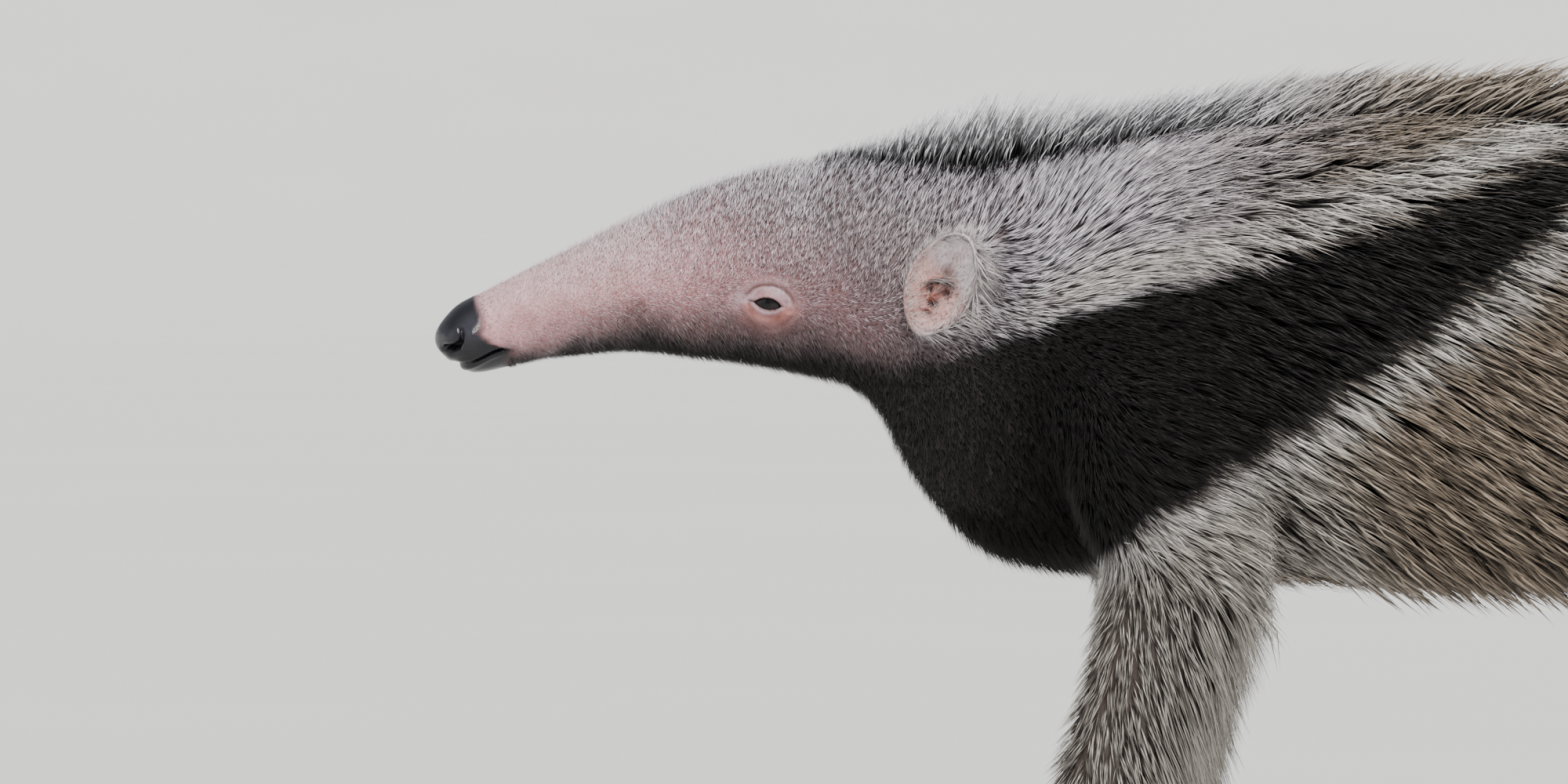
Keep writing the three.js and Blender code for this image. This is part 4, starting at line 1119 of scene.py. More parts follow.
# Claws
# Curved horns of keratin, ridged along and worn pale at the tips. The great claws of the hand
# fold inwards and back beside the palm, each given by its half thickness and its path from there.
# Those of the hind foot point forwards.
HAND_CLAWS = [
    (1.8, [(2, -14, 17.5), (3.5, -18.4, 14.5), (8, -19.6, 10.5)]),
    (2.9, [(-8, -12, 14), (-9.5, -18.5, 11), (-4, -22.4, 7.6), (5, -23.4, 5.4)]),
    (3.3, [(-15, -6, 9.5), (-20, -12, 7.6), (-17, -19, 5), (-6, -22.4, 3.2)]),
    (2.3, [(-15, 3, 9), (-20.6, 0.6, 6.6), (-22, -4.4, 3.2)]),
]
CLAW_RINGS = 18
CLAW_CORNERS = 14
HIND_CLAW = 2.2
CLAW_TAPER = 0.97
CLAW_FLATNESS = 0.72
CLAW_RIDGES = 5
RIDGE_HEIGHT = 0.04
HORN_ROUGHNESS = 0.38
HORN_DEPTH = 0.0002
HORN_BANDS = [
    (0.1, paint("2c2522") + (1,)),
    (0.55, paint("4b4039") + (1,)),
    (0.95, paint("8a7a68") + (1,)),
    (1.3, paint("a8977f") + (1,)),
]
claw_look, nodes, links, shader = new_material("horn")
streaks = noise_node(nodes, links, 700, 5, rough=0.7)
links.new(banded(nodes, links, "along", streaks, 0.35, HORN_BANDS), shader.inputs["Base Color"])
shader.inputs["Roughness"].default_value = HORN_ROUGHNESS
roughened(nodes, links, shader, streaks.outputs["Fac"], 0.3, HORN_DEPTH)


def claw(points, thick):
    """A horn swept along a curve, flatter across than it is high, with ridges along it."""
    points = np.array(points, float)
    place = np.linspace(0, 1, len(points))
    t = np.linspace(0, 1, CLAW_RINGS)
    path = np.stack([hermite(place, points[:, k], t) for k in range(3)], axis=-1)
    tangent = np.gradient(path, axis=0)
    tangent /= np.linalg.norm(tangent, axis=1, keepdims=True)
    across = np.stack([tangent[:, 1], -tangent[:, 0], np.zeros(CLAW_RINGS)], axis=-1)
    across /= np.linalg.norm(across, axis=1, keepdims=True)
    upward = np.cross(tangent, across)
    size = thick * (1 - CLAW_TAPER * t**1.6)
    turns = np.linspace(0, 2 * math.pi, CLAW_CORNERS, endpoint=False)
    ridge = 1 + RIDGE_HEIGHT * np.cos(turns * CLAW_RIDGES)
    rings = path[:, None, :] + (
        (across * size[:, None] * CLAW_FLATNESS)[:, None, :] * (np.cos(turns) * ridge)[None, :, None]
        + (upward * size[:, None])[:, None, :] * (np.sin(turns) * ridge)[None, :, None]
    )
    return rings.reshape(-1, 3), np.repeat(t, CLAW_CORNERS)


for name, side in (("right", 1), ("left", -1)):
    palm = np.array([HAND[0] + side * FORE_STEP, side * HAND[1], 0])
    fore_claws = []
    for thick, path in HAND_CLAWS:
        fore_claws.append(([palm + np.array([x, side * y, z]) for x, y, z in path], thick))
    hind_claws = []
    for toe in range(5):
        x, y, _ = hind_toe(side, toe)
        share = 1 - abs(toe - 2) * 0.12
        path = [(x - share, y, 5), (x - 8.5 * share, y, 5.2), (x - 14 * share, y, 1.2)]
        hind_claws.append((path, HIND_CLAW * share))
    for kind, claws in (("fore", fore_claws), ("hind", hind_claws)):
        all_points, all_faces, all_along = [], [], []
        for path, thick in claws:
            claw_points, claw_along = claw(path, thick)
            start = sum(len(p) for p in all_points)
            all_faces += shell_faces(CLAW_RINGS, CLAW_CORNERS, start)
            all_points.append(claw_points)
            all_along.append(claw_along)
        piece = mesh_object(f"{kind}_claws_{name}", np.concatenate(all_points), all_faces)
        put_number(piece.data, "along", np.concatenate(all_along))
        put_points(piece.data, np.concatenate(all_points))
        piece.data.shade_smooth()
        piece.data.materials.append(claw_look)
        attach(piece, "root")
        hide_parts(*[f"{kind}_claw_{i + 1}_{name}" for i in range(len(claws))])

# Coat
# Every hair or tuft is a thin closed blade, rooted just under the skin and lying along the coat's
# flow: back over the head and body, down the legs, out and back on the tail. Roots are drawn over
# the skin, tips are gathered into small locks, and the blades are set on the roots by one tree.
ROOT_SUNK = 0.25
FLOOR_GAP = 0.8
SHORTEST = 0.3
PATCH = 0.003
BLADE_TURNS = (0.5 * math.pi, 1.166 * math.pi, 1.833 * math.pi)
# By place along the body: the hair's length, how far it stands off the skin in degrees, how
# steeply it falls, and the height where the hair of the head parts upwards and downwards.
HAIR_LENGTH = [(10, 1.1), (20, 1.6), (40, 2.0), (75, 2.4), (98, 2.7), (118, 3.2), (150, 4.8)]
HAIR_LENGTH += [(190, 10), (235, 18), (300, 23), (380, 27), (468, 30)]
STAND = [(10, 36), (40, 40), (90, 40), (120, 38), (160, 30), (220, 24), (300, 19), (468, 20)]
FALL = [(60, 0), (110, 0.1), (160, 0.3), (230, 0.55), (468, 0.6)]
PARTING = [(10, 171), (30, 176), (60, 182), (90, 182), (115, 178), (135, 176), (160, 182)]
WIDEST_REACH = 57.5
EAR_DOWN = 2.3
FRINGE_LENGTH = 33
BELLY_LENGTH = 9
TAIL_LENGTH = 34
TAIL_BELOW = 16
TAIL_STAND = 32
BLADE_BENDS = [(0.07, 0.0), (0.12, 0.05), (0.04, -0.05), (0.1, -0.02), (0.15, 0.03)]
HAIR_ROUGHNESS = 0.46
HAIR_SHADES = [(0, (0.48,) * 3 + (1,)), (1, (1.25,) * 3 + (1,))]
SNOUT_ROOT = paint("7d6062")
SNOUT_TIP = paint("fbecef")
CHEEK_ROOT = paint("44363a")
CHEEK_TIP = paint("f3dfe3")
JAW_TIP = paint("786868")
CROWN_ROOT = paint("312d34")
CROWN_TIP = paint("fdf5fd")
BACK_ROOT = paint("1c1614")
BACK_TIP = paint("a1917f")
BLACK_ROOT = paint("080708")
BLACK_TIP = paint("252120")
WHITE_ROOT = paint("8b8580")
WHITE_TIP = paint("f3efe9")
LEG_ROOT = paint("5f5852")
LEG_TIP = paint("ded7cd")
HIND_ROOT = paint("120e0c")
HIND_TIP = paint("4d4037")
TAIL_ROOT = paint("18120f")
TAIL_TIP = paint("8d7a66")
EAR_HAIR = paint("e6dedd")

normals = np.empty(len(whole_mesh.vertices) * 3, np.float32)
whole_mesh.vertex_normals.foreach_get("vector", normals)
normals = normals.reshape(-1, 3).astype(float)
whole_mesh.calc_loop_triangles()
triangles = np.empty(len(whole_mesh.loop_triangles) * 3, np.int32)
whole_mesh.loop_triangles.foreach_get("vertices", triangles)
triangles = triangles.reshape(-1, 3)
corners = skin_points[triangles]
areas = np.linalg.norm(np.cross(corners[:, 1] - corners[:, 0], corners[:, 2] - corners[:, 0]), axis=1)
centres = corners.mean(axis=1)


def unit(vectors):
    return vectors / np.maximum(np.linalg.norm(vectors, axis=-1, keepdims=True), 1e-9)


def draw_roots(draw, count, chance):
    """Places on the skin and the directions out of it, spread by area and by chance."""
    total = np.cumsum(areas * chance(centres))
    picks = np.searchsorted(total, (np.arange(count) + draw.random(count)) / count * total[-1])
    picks = np.minimum(picks, len(triangles) - 1)
    a, b = draw.random(count), draw.random(count)
    a, b = np.where(a + b > 1, 1 - a, a), np.where(a + b > 1, 1 - b, b)
    shares = np.stack([1 - a - b, a, b], axis=-1)[..., None]
    return (corners[picks] * shares).sum(axis=1), unit((normals[triangles[picks]] * shares).sum(axis=1))


def bare(p):
    """Where no hair grows: the nose pad, the lids' edges and slit, and the soles."""
    edge, oval, _, _ = eye_fields(p)
    lids = np.maximum(smooth(1.5, 0.7, edge), 0.92 * smooth(5.9, 5.1, oval))
    share, _, o, _ = ear_fields(p)
    inner = (share < 0.9) & (o < 0.6) & (o > -8.5)
    return np.clip(smooth(0.02, 0.4, pad_share(p)) + lids + 0.6 * inner + smooth(1.8, 0.8, p[:, 2]), 0, 1)


def on_leg(p):
    return smooth(124, 100, p[:, 2]) * smooth(10, 20, np.abs(p[:, 1])) * (p[:, 0] < 455)


def on_tail(p):
    return smooth(452, 470, p[:, 0])


def on_fringe(p, n):
    """The lower flank, where long hair hangs down and back."""
    x, _, z = p.T
    stretch = smooth(212, 236, x) * smooth(400, 372, x)
    return stretch * smooth(136, 120, z) * smooth(0.15, 0.45, np.abs(n[:, 1])) * (1 - on_leg(p))


def hair_lengths(p, n):
    """How long the hair is: down on the face, longer to the rump, with the fringe and the plume."""
    x, y, z = p.T
    m = marks(p)
    length = linear(HAIR_LENGTH, x)
    length = length * (1 + 0.25 * smooth(0.2, 0.9, n[:, 2]) * smooth(15, 60, x) * smooth(150, 120, x))
    length = length * (1 + 0.5 * m["black"] * smooth(18, 40, x) * smooth(140, 110, x))
    _, oval, _, _ = eye_fields(p)
    length = length * (1 - 0.5 * smooth(10, 5, oval))
    share, a, o, _ = ear_fields(p)
    inner = (share < 0.95) & (o < 0.5) & (o > -9)
    shell = (share < 1.12) & (o > -6) & (np.abs(y) > 30)
    shell_length = np.minimum(length, 3.6) + 4.6 * smooth(0.5, 7, a)
    length = np.where(inner, EAR_DOWN, np.where(shell, shell_length, length))
    behind = bump(np.hypot((x - 151) / 9, (z - 190) / 15), 1)
    length = length * (1 + 0.35 * behind)
    fringe = on_fringe(p, n)
    length = length * (1 - fringe) + FRINGE_LENGTH * fringe
    belly = smooth(-0.6, -0.85, n[:, 2]) * smooth(120, 150, x) * (1 - on_tail(p))
    length = length * (1 - belly) + BELLY_LENGTH * belly
    leg = on_leg(p)
    back_side = smooth(-0.1, 0.8, n[:, 0]) * smooth(36, 66, z)
    leg_length = (8.5 + 14 * back_side) * (0.5 + 0.5 * smooth(6, 56, z))
    length = length * (1 - leg) + leg_length * leg
    tail = on_tail(p)
    tail_length = TAIL_LENGTH + TAIL_BELOW * smooth(0.2, -0.8, n[:, 2])
    tail_length = tail_length * (0.68 + 0.32 * smooth(462, 505, x))
    return length * (1 - tail) + tail_length * tail


def hair_lie(p, n, draw):
    """The unit direction of each hair."""
    x, _, z = p.T
    flow = np.zeros_like(p)
    flow[:, 0] = 1
    flow[:, 2] = -linear(FALL, x) * (1 - 0.7 * smooth(0.3, 0.95, n[:, 2]))
    head = smooth(205, 160, x)
    upward = np.clip((z - linear(PARTING, x)) / (9 + 18 * smooth(125, 155, x)), -1, 1)
    share, a, _, _ = ear_fields(p)
    past_ear = smooth(0, 5, a) * smooth(2.6, 1.1, share) * smooth(206, 194, z)
    upward = upward * (1 - past_ear) - 0.45 * past_ear
    flow[:, 0] = 1 - 0.6 * head * np.maximum(upward, 0) - 0.5 * head * np.maximum(-upward, 0)
    flow[:, 2] = flow[:, 2] * (1 - head) + 0.9 * upward * head
    hanging = on_fringe(p, n)[:, None]
    flow = flow * (1 - hanging) + np.array([0.75, 0, -1.0]) * hanging
    leg = on_leg(p)[:, None]
    flow = flow * (1 - leg) + np.array([0.28, 0, -1.0]) * leg
    tail = on_tail(p)
    side_hang = -0.25 - 0.55 * np.abs(n[:, 1])
    tail_flow = np.stack([np.ones(len(p)), np.zeros(len(p)), side_hang], axis=-1)
    flow = flow * (1 - tail[:, None]) + tail_flow * tail[:, None]
    tangent = unit(flow - n * (flow * n).sum(axis=1, keepdims=True) + 1e-6)
    stand = linear(STAND, x) * (1 - 0.6 * hanging[:, 0]) * (1 - tail) + TAIL_STAND * tail
    stand = stand + 14 * smooth(0.4, 0.95, n[:, 2]) * smooth(120, 90, x)
    stand = np.radians(stand * (0.75 + 0.5 * draw.random(len(p))))
    lie = tangent * np.cos(stand)[:, None] + n * np.sin(stand)[:, None]
    sideways = np.cross(lie, n)
    swing = (draw.random(len(p)) - 0.5) * (0.3 + 0.3 * smooth(190, 130, x))
    return unit(lie + sideways * swing[:, None])


def kept_close(p, lie, lengths):
    """Turns back the hairs that would stand out past the widest place of the coat."""
    reach = np.abs(p[:, 1] + lie[:, 1] * lengths)
    allowed = np.maximum(WIDEST_REACH - 0.1 * lengths, np.abs(p[:, 1]) + 0.5)
    y = np.where(reach > allowed, np.sign(p[:, 1]) * (allowed - np.abs(p[:, 1])) / lengths, lie[:, 1])
    return unit(np.stack([lie[:, 0], y, lie[:, 2]], axis=-1))


def gathered_to_locks(p, lie, length, every, pull, draw):
    """Turns each hair's tip towards the tip of the lock it belongs to."""
    leaders = draw.choice(len(p), max(1, len(p) // every), replace=False)
    tree = KDTree(len(leaders))
    for i, leader in enumerate(leaders):
        tree.insert(p[leader], i)
    tree.balance()
    owner = leaders[np.array([tree.find(q)[1] for q in p])]
    tips = p + lie * length[:, None]
    goal = p[owner] + lie[owner] * length[:, None]
    return unit(tips + pull * (goal - tips) - p)


def hair_tones(p, draw):
    """The colours of each hair's root and tip, which carry the same markings as the skin, with painted
    shade below the eyes.
    """
    x, _, z = p.T
    m = marks(p)
    w = wobble(p) + 6 * (draw.random(len(p)) - 0.5)
    crown = smooth(34, 84, x + 1.0 * (z - 197) + w)
    root, tip = mixed(SNOUT_ROOT, CROWN_ROOT, crown), mixed(SNOUT_TIP, CROWN_TIP, crown)
    cheek = smooth(66, 98, x + w) * smooth(208, 190, z + w) * smooth(150, 132, x)
    root, tip = mixed(root, CHEEK_ROOT, cheek), mixed(tip, CHEEK_TIP, cheek * 0.85)
    jaw = smooth(-4, 5, linear(BLACK_EDGE, x) + 7 - z + 0.8 * w) * smooth(20, 55, x) * smooth(150, 130, x)
    root, tip = mixed(root, CHEEK_ROOT, jaw), mixed(tip, JAW_TIP, 0.75 * jaw)
    back = smooth(168, 250, x + 0.35 * (205 - z) + 2.5 * w)
    root, tip = mixed(root, BACK_ROOT, back), mixed(tip, BACK_TIP, back)
    pale_leg = np.maximum(m["leg"], smooth(90, 70, z) * (x < 300))
    root, tip = mixed(root, LEG_ROOT, pale_leg), mixed(tip, LEG_TIP, pale_leg)
    root, tip = mixed(root, HIND_ROOT, m["hind"]), mixed(tip, HIND_TIP, m["hind"])
    root, tip = mixed(root, TAIL_ROOT, m["tail"]), mixed(tip, TAIL_TIP, m["tail"])
    root, tip = mixed(root, WHITE_ROOT, m["white"]), mixed(tip, WHITE_TIP, m["white"])
    root, tip = mixed(root, BLACK_ROOT, m["black"]), mixed(tip, BLACK_TIP, m["black"])
    foot = smooth(15, 9, z) + bump(z - 34, 7) * (x < 300)
    root, tip = mixed(root, BLACK_ROOT, foot), mixed(tip, BLACK_TIP, foot)
    share, _, o, _ = ear_fields(p)
    ear = smooth(1.12, 1.05, share) * smooth(-7, -4, o)
    root, tip = mixed(root, EAR_HAIR, ear * 0.8), mixed(tip, EAR_HAIR, ear)
    _, oval, _, v = eye_fields(p)
    # Painted shade: the hair below the roll of the lower lid is darker.
    shade_under_eye = bump(oval - 7.4, 1.3) * smooth(-2, -5, v)
    root, tip = mixed(root, CHEEK_ROOT, shade_under_eye), mixed(tip, CHEEK_ROOT, 0.75 * shade_under_eye)
    odd = draw.random(len(p))
    fewer = 0.36 - 0.16 * smooth(175, 220, x)
    tip = mixed(tip, root, np.where(odd < fewer, 0.8, 0) * (1 - 0.35 * smooth(70, 40, x)))
    return root, tip


def unwrapped(p):
    """Each place of the skin laid out flat: the trunk and the tail round X, the legs round Z."""
    x, y, z = p.T
    angle = np.arctan2(z - trunk_section(np.clip(x, 1, 467))[0], y) / (2 * math.pi) + 0.5
    u, v = 0.01 + 0.98 * x / BODY_LENGTH, 0.01 + 0.48 * angle
    tail_angle = np.arctan2(z - tail_section(np.clip(x, 424, 700))[0], y) / (2 * math.pi) + 0.5
    tail = x > 461
    u, v = np.where(tail, (x - 440) / 270, u), np.where(tail, 0.51 + 0.17 * tail_angle, v)
    leg = (z < 104) & ~tail
    fore = x < 300
    middle = np.where(fore, 190, 396)
    around = np.arctan2(np.abs(y) - 37, x - middle) / (2 * math.pi) + 0.5
    island = np.where(fore, 0, 2) + (y > 0)
    u = np.where(leg, 0.01 + 0.25 * island + 0.23 * around, u)
    v = np.where(leg, 0.7 + 0.28 * z / 104, v)
    return np.stack([u, v, np.zeros(len(p))], axis=-1)


def blade(name, half_width, segments, bow, sway):
    """One hair, one unit long: three-sided, widest a third of the way up, closed at both ends."""
    points, along, edge = [], [], []
    for s in range(segments):
        t = (s / segments) ** 0.75
        breadth = half_width * (0.72 + 0.5 * math.sin(math.pi * min(1, 1.5 * t + 0.05)) * (1 - t))
        lift = bow * 4 * t * (1 - t)
        for turn in BLADE_TURNS:
            across = breadth * math.cos(turn)
            points.append((lift + 0.45 * breadth * math.sin(turn), across + sway * t * t, t))
            along.append(t)
            edge.append(math.cos(turn) / 1.8)
    points.append((0, sway, 1))
    along.append(1)
    edge.append(0)
    faces = [(2, 1, 0)]
    for s in range(segments - 1):
        for c in range(3):
            d = (c + 1) % 3
            faces.append((3 * s + c, 3 * s + d, 3 * s + 3 + d, 3 * s + 3 + c))
    top = 3 * (segments - 1)
    faces += [(top + c, top + (c + 1) % 3, top + 3) for c in range(3)]
    piece = mesh_object(name, points, faces)
    put_number(piece.data, "along", along)
    put_number(piece.data, "edge", edge)
    piece.data.shade_smooth()
    return piece


def growth_tree():
    """Sets a blade on every root, turned by its lie, sized, made real and given its finish."""
    tree = bpy.data.node_groups.new("coat_growth", "GeometryNodeTree")
    inputs = [
        ("Roots", "NodeSocketGeometry", None),
        ("Blades", "NodeSocketCollection", None),
        ("Finish", "NodeSocketMaterial", None),
        ("Length", "NodeSocketFloat", 1.0),
        ("Width", "NodeSocketFloat", 1.0),
        ("Patch", "NodeSocketFloat", PATCH),
        ("Seed", "NodeSocketInt", 1),
    ]
    for label, kind, value in inputs:
        socket = tree.interface.new_socket(label, in_out="INPUT", socket_type=kind)
        if value is not None:
            socket.default_value = value
    tree.interface.new_socket("Coat", in_out="OUTPUT", socket_type="NodeSocketGeometry")
    nodes, links = tree.nodes, tree.links
    given, result = nodes.new("NodeGroupInput"), nodes.new("NodeGroupOutput")

    def named(label, kind):
        node = nodes.new("GeometryNodeInputNamedAttribute")
        node.data_type = kind
        node.inputs["Name"].default_value = label
        return node.outputs["Attribute"]

    variants = nodes.new("GeometryNodeCollectionInfo")
    variants.inputs["Separate Children"].default_value = True
    variants.inputs["Reset Children"].default_value = True
    links.new(given.outputs["Blades"], variants.inputs["Collection"])
    choice = nodes.new("FunctionNodeRandomValue")
    choice.data_type = "INT"
    choice.inputs[4].default_value = 0
    choice.inputs[5].default_value = len(BLADE_BENDS) - 1
    links.new(given.outputs["Seed"], choice.inputs["Seed"])
    turn = nodes.new("FunctionNodeAxesToRotation")
    turn.primary_axis, turn.secondary_axis = "Z", "X"
    links.new(named("lie", "FLOAT_VECTOR"), turn.inputs["Primary Axis"])
    links.new(named("across", "FLOAT_VECTOR"), turn.inputs["Secondary Axis"])
    scale = nodes.new("ShaderNodeCombineXYZ")
    sizes = nodes.new("ShaderNodeSeparateXYZ")
    links.new(named("size", "FLOAT_VECTOR"), sizes.inputs["Vector"])
    for axis, part, factor in (("X", "X", "Width"), ("Y", "X", "Width"), ("Z", "Z", "Length")):
        times = nodes.new("ShaderNodeMath")
        times.operation = "MULTIPLY"
        links.new(sizes.outputs[part], times.inputs[0])
        links.new(given.outputs[factor], times.inputs[1])
        links.new(times.outputs["Value"], scale.inputs[axis])
    place = nodes.new("GeometryNodeInstanceOnPoints")
    place.inputs["Pick Instance"].default_value = True
    links.new(given.outputs["Roots"], place.inputs["Points"])
    links.new(variants.outputs["Instances"], place.inputs["Instance"])
    links.new(choice.outputs[2], place.inputs["Instance Index"])
    links.new(turn.outputs["Rotation"], place.inputs["Rotation"])
    links.new(scale.outputs["Vector"], place.inputs["Scale"])
    real = nodes.new("GeometryNodeRealizeInstances")
    links.new(place.outputs["Instances"], real.inputs["Geometry"])
    local = nodes.new("ShaderNodeCombineXYZ")
    links.new(named("edge", "FLOAT"), local.inputs["X"])
    links.new(named("along", "FLOAT"), local.inputs["Y"])
    spread = nodes.new("ShaderNodeVectorMath")
    spread.operation = "SCALE"
    links.new(local.outputs["Vector"], spread.inputs["Vector"])
    links.new(given.outputs["Patch"], spread.inputs["Scale"])
    laid = nodes.new("ShaderNodeVectorMath")
    laid.operation = "ADD"
    links.new(named("patch", "FLOAT_VECTOR"), laid.inputs[0])
    links.new(spread.outputs["Vector"], laid.inputs[1])
    store = nodes.new("GeometryNodeStoreNamedAttribute")
    store.data_type = "FLOAT2"
    store.domain = "CORNER"
    store.inputs["Name"].default_value = "OFBake"
    links.new(real.outputs["Geometry"], store.inputs["Geometry"])
    links.new(laid.outputs["Vector"], store.inputs["Value"])
    finish = nodes.new("GeometryNodeSetMaterial")
    links.new(store.outputs["Geometry"], finish.inputs["Geometry"])
    links.new(given.outputs["Finish"], finish.inputs["Material"])
    links.new(finish.outputs["Geometry"], result.inputs["Coat"])
    return tree


coat_look, nodes, links, shader = new_material("coat_hair")
attributes = {}
for label in ("root_tone", "tip_tone", "along", "shade", "later"):
    attributes[label] = attribute_node(nodes, label)
reach = nodes.new("ShaderNodeMapRange")
reach.interpolation_type = "SMOOTHSTEP"
reach.inputs["From Min"].default_value = 0.3
reach.inputs["From Max"].default_value = 0.72
moved_on = nodes.new("ShaderNodeMath")
moved_on.operation = "SUBTRACT"
links.new(attributes["along"].outputs["Fac"], moved_on.inputs[0])
links.new(attributes["later"].outputs["Fac"], moved_on.inputs[1])
links.new(moved_on.outputs["Value"], reach.inputs["Value"])
hair_tone = nodes.new("ShaderNodeMix")
hair_tone.data_type = "RGBA"
links.new(reach.outputs["Result"], hair_tone.inputs["Factor"])
links.new(attributes["root_tone"].outputs["Color"], hair_tone.inputs["A"])
links.new(attributes["tip_tone"].outputs["Color"], hair_tone.inputs["B"])
shades = ramp_node(nodes, links, attributes["shade"].outputs["Fac"], HAIR_SHADES)
tinted = shaded_by(nodes, links, hair_tone.outputs["Result"], shades)
links.new(tinted, shader.inputs["Base Color"])
shader.inputs["Roughness"].default_value = HAIR_ROUGHNESS
shader.inputs["Specular IOR Level"].default_value = 0.35
growth = growth_tree()
sockets = {item.name: item.identifier for item in growth.interface.items_tree if item.in_out == "INPUT"}


def grow(row, seed, p, n, lie, lengths, widths, tones):
    """Makes one piece of the coat from its roots. Later puts off the tip's colour along a hair."""
    draw = np.random.default_rng(seed)
    lowest = p[:, 2] + np.maximum(lie[:, 2], -1) * lengths
    to_floor = (p[:, 2] - FLOOR_GAP) / np.maximum(-lie[:, 2], 0.05)
    lengths = np.where(lowest < FLOOR_GAP, np.maximum(to_floor, SHORTEST), lengths)
    count = len(p)
    name = row["name"]
    roots = bpy.data.meshes.new(name + "_roots")
    roots.vertices.add(count)
    put_points(roots, p - n * ROOT_SUNK)
    size = np.stack([lengths * widths, lengths * widths, lengths], axis=-1) * MM
    for label, values in (("lie", lie), ("across", n), ("size", size), ("patch", unwrapped(p))):
        layer = roots.attributes.new(label, "FLOAT_VECTOR", "POINT")
        layer.data.foreach_set("vector", values.astype(np.float32).ravel())
    put_colour(roots, "root_tone", tones[0])
    put_colour(roots, "tip_tone", tones[1])
    put_number(roots, "shade", draw.random(count))
    put_number(roots, "later", np.zeros(count) + row["later"])
    piece = bpy.data.objects.new(name, roots)
    bpy.context.collection.objects.link(piece)
    blades = bpy.data.collections.new(name + "_blades")
    for i, (bow, sway) in enumerate(BLADE_BENDS):
        variant = blade(f"blade_{i}", row["half"], row["segments"], bow, sway)
        bpy.context.collection.objects.unlink(variant)
        blades.objects.link(variant)
    modifier = piece.modifiers.new("growth", "NODES")
    modifier.node_group = growth
    modifier[sockets["Blades"]] = blades
    modifier[sockets["Finish"]] = coat_look
    modifier[sockets["Seed"]] = seed
    evaluated = piece.evaluated_get(bpy.context.evaluated_depsgraph_get())
    mesh = bpy.data.meshes.new_from_object(evaluated)
    piece.modifiers.clear()
    piece.data = mesh
    mesh.name = name
    for variant in list(blades.objects):
        bpy.data.objects.remove(variant)
    bpy.data.collections.remove(blades)
    bpy.data.meshes.remove(roots)
    for label in ("lie", "across", "size", "patch", "edge"):
        layer = mesh.attributes.get(label)
        if layer:
            mesh.attributes.remove(layer)
    mesh.shade_smooth()
    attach(piece, "root")


# The pieces of the coat, from the finest hairs of the snout to the plume of the tail. Each gives
# the stretch of the body it covers and how it fades out at both ends, its side, how many hairs it
# has, how wide they are for their length, and how strongly their tips gather.
COATS = [
    {"name": "coat_snout", "slot": "face_coat", "x": (8, 100), "fade": (4, 6), "side": 0,
     "count": 48000, "half": 0.046, "segments": 1, "later": -0.2, "every": 9, "pull": 0.12},
    {"name": "coat_crown_right", "slot": "neck_coat", "x": (96, 200), "fade": (6, 20), "side": 1,
     "count": 41000, "half": 0.034, "segments": 1, "later": -0.1, "every": 8, "pull": 0.5},
    {"name": "coat_crown_left", "slot": "neck_coat", "x": (96, 200), "fade": (6, 20), "side": -1,
     "count": 41000, "half": 0.034, "segments": 1, "later": -0.1, "every": 8, "pull": 0.5},
    {"name": "coat_shoulder_right", "slot": "dark_coat", "x": (192, 315), "fade": (20, 12), "side": 1,
     "count": 16000, "half": 0.017, "segments": 2, "later": 0, "every": 12, "pull": 0.5},
    {"name": "coat_shoulder_left", "slot": "dark_coat", "x": (192, 315), "fade": (20, 12), "side": -1,
     "count": 16000, "half": 0.017, "segments": 2, "later": 0, "every": 12, "pull": 0.5},
    {"name": "coat_rear", "slot": "dark_coat", "x": (315, 470), "fade": (12, 4), "side": 0,
     "count": 15400, "half": 0.02, "segments": 2, "later": 0, "every": 10, "pull": 0.5},
    {"name": "coat_legs", "slot": "pale_coat", "x": (100, 455), "fade": (4, 4), "side": 0,
     "count": 44500, "half": 0.036, "segments": 1, "later": -0.15, "every": 14, "pull": 0.45},
    {"name": "coat_tail", "slot": "dark_coat", "x": (458, 800), "fade": (4, 4), "side": 0,
     "count": 8600, "half": 0.015, "segments": 3, "later": 0, "every": 9, "pull": 0.45},
]
COAT_SEED = 100
LEG_TOP = 110
LEG_HAIR_FULL = 11
EAR_THICKER = 1.05
for number, row in enumerate(COATS):
    draw = np.random.default_rng(COAT_SEED + number)
    leg_piece = row["name"] == "coat_legs"

    def chance(p):
        x, y, z = p.T
        (start, end), (fade_in, fade_out) = row["x"], row["fade"]
        stretch = smooth(start - fade_in, start + fade_in, x) * smooth(end + fade_out, end - fade_out, x)
        below = smooth(LEG_TOP + 4, LEG_TOP - 4, z) * (x < 457) * (x > 130)
        stretch = stretch * (below if leg_piece else 1 - below)
        if row["side"]:
            stretch = stretch * (y * row["side"] > 0)
        closer = 1 + 1.2 * smooth(40, 15, z) if leg_piece else 1 + 0.9 * smooth(78, 45, x)
        share, _, o, _ = ear_fields(p)
        downy = 1 + 1.8 * ((share < 0.95) & (o < 0.5))
        return stretch * closer * downy * (1 - bare(p)) + 1e-12

    p, n = draw_roots(draw, row["count"], chance)
    lengths = hair_lengths(p, n) * (0.75 + 0.5 * draw.random(len(p)))
    lie = hair_lie(p, n, draw)
    lie = kept_close(p, gathered_to_locks(p, lie, lengths, row["every"], row["pull"], draw), lengths)
    thicker = np.clip(LEG_HAIR_FULL / np.maximum(lengths, 1), 0.6, 1.7) if leg_piece else 1.0
    share, _, o, _ = ear_fields(p)
    thicker = thicker * np.where((share < 0.95) & (o < 0.5), EAR_THICKER, 1)
    widths = (0.8 + 0.4 * draw.random(len(p))) * thicker
    grow(row, COAT_SEED + number, p, n, lie, lengths, widths, hair_tones(p, draw))

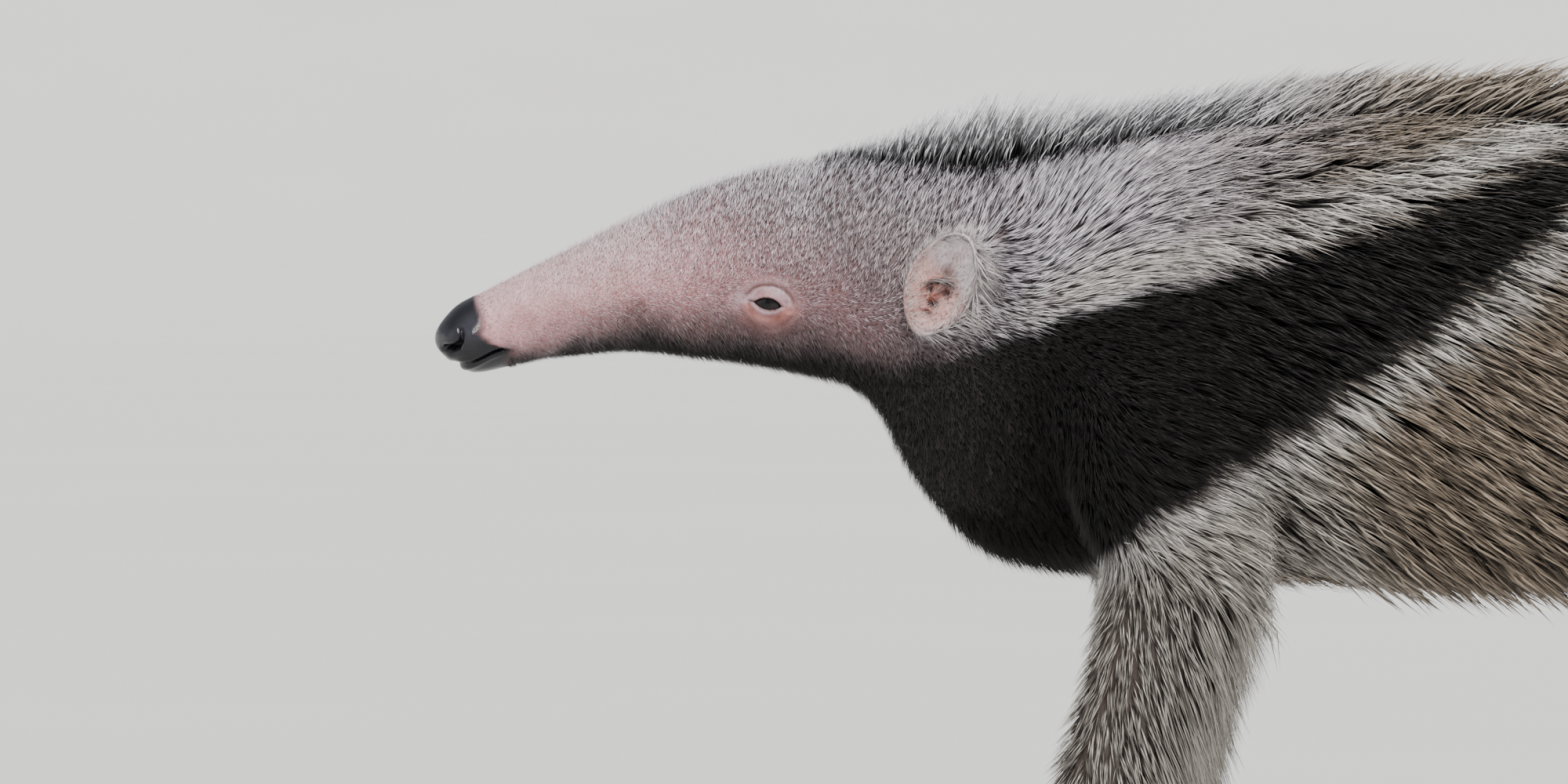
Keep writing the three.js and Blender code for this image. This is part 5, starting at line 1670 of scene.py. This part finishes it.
# The mane and crest
# A narrow strip of upright hair from behind the brow to the rump, black at the root with white
# tips. It is short and stiff on the neck, and longer and laid back over the loins.
CREST_X = [100, 118, 132, 146, 180, 230, 300, 370, 420, 470]
CREST_HEIGHT = [1, 4.6, 10.5, 14, 9.5, 12.5, 15.5, 15, 11, 6]
CREST_RUN = [1, 2, 3, 4.5, 7, 15, 24, 28, 31, 33]
MANES = [
    {"name": "mane", "slot": "neck_coat", "x": (101, 226), "count": 12200, "half": 0.017,
     "segments": 2, "later": 0.06, "every": 15, "pull": 0.66},
    {"name": "crest", "slot": "dark_coat", "x": (214, 452), "count": 4200, "half": 0.02,
     "segments": 3, "later": 0.05, "every": 9, "pull": 0.45},
]
MANE_SEED = 300
MANE_HALF = 9
MANE_ROOT = paint("0c0b0d")
MANE_TIP = paint("fbfaff")
CREST_TIP = paint("aa9c8c")
for number, row in enumerate(MANES):
    draw = np.random.default_rng(MANE_SEED + number)

    def chance(p):
        x, y, z = p.T
        start, end = row["x"]
        stretch = smooth(start - 2, start + 6, x) * smooth(end + 4, end - 4, x)
        return stretch * bump(y, MANE_HALF * 0.75) * (z > 175) + 1e-12

    p, n = draw_roots(draw, row["count"], chance)
    depth = linear(COAT_DEPTH, p[:, 0]) + linear(NECK_HAIR_DEPTH, p[:, 0])
    height = hermite(CREST_X, CREST_HEIGHT, p[:, 0]) * (0.62 + 0.42 * draw.random(len(p)))
    height = height * (0.4 + 0.6 * bump(p[:, 1], MANE_HALF * 0.7))
    run = hermite(CREST_X, CREST_RUN, p[:, 0]) * (0.6 + 0.8 * draw.random(len(p)))
    inward = -0.25 * p[:, 1] + 3 * (draw.random(len(p)) - 0.5)
    aim = np.stack([run, inward, depth + height], axis=-1)
    lengths = np.linalg.norm(aim, axis=1)
    lie = gathered_to_locks(p, unit(aim), lengths, row["every"], row["pull"], draw)
    tip = mixed(MANE_TIP, CREST_TIP, smooth(190, 260, p[:, 0]))
    odd = draw.random(len(p))
    dark = 0.12 + 0.55 * smooth(3, 6, np.abs(p[:, 1])) * smooth(230, 190, p[:, 0])
    tip = mixed(tip, MANE_ROOT, np.where(odd < dark, 0.85, 0))
    root = np.repeat(np.array([MANE_ROOT]), len(p), axis=0)
    widths = 0.8 + 0.4 * draw.random(len(p))
    grow(row, MANE_SEED + number, p, n, lie, lengths, widths, (root, tip))
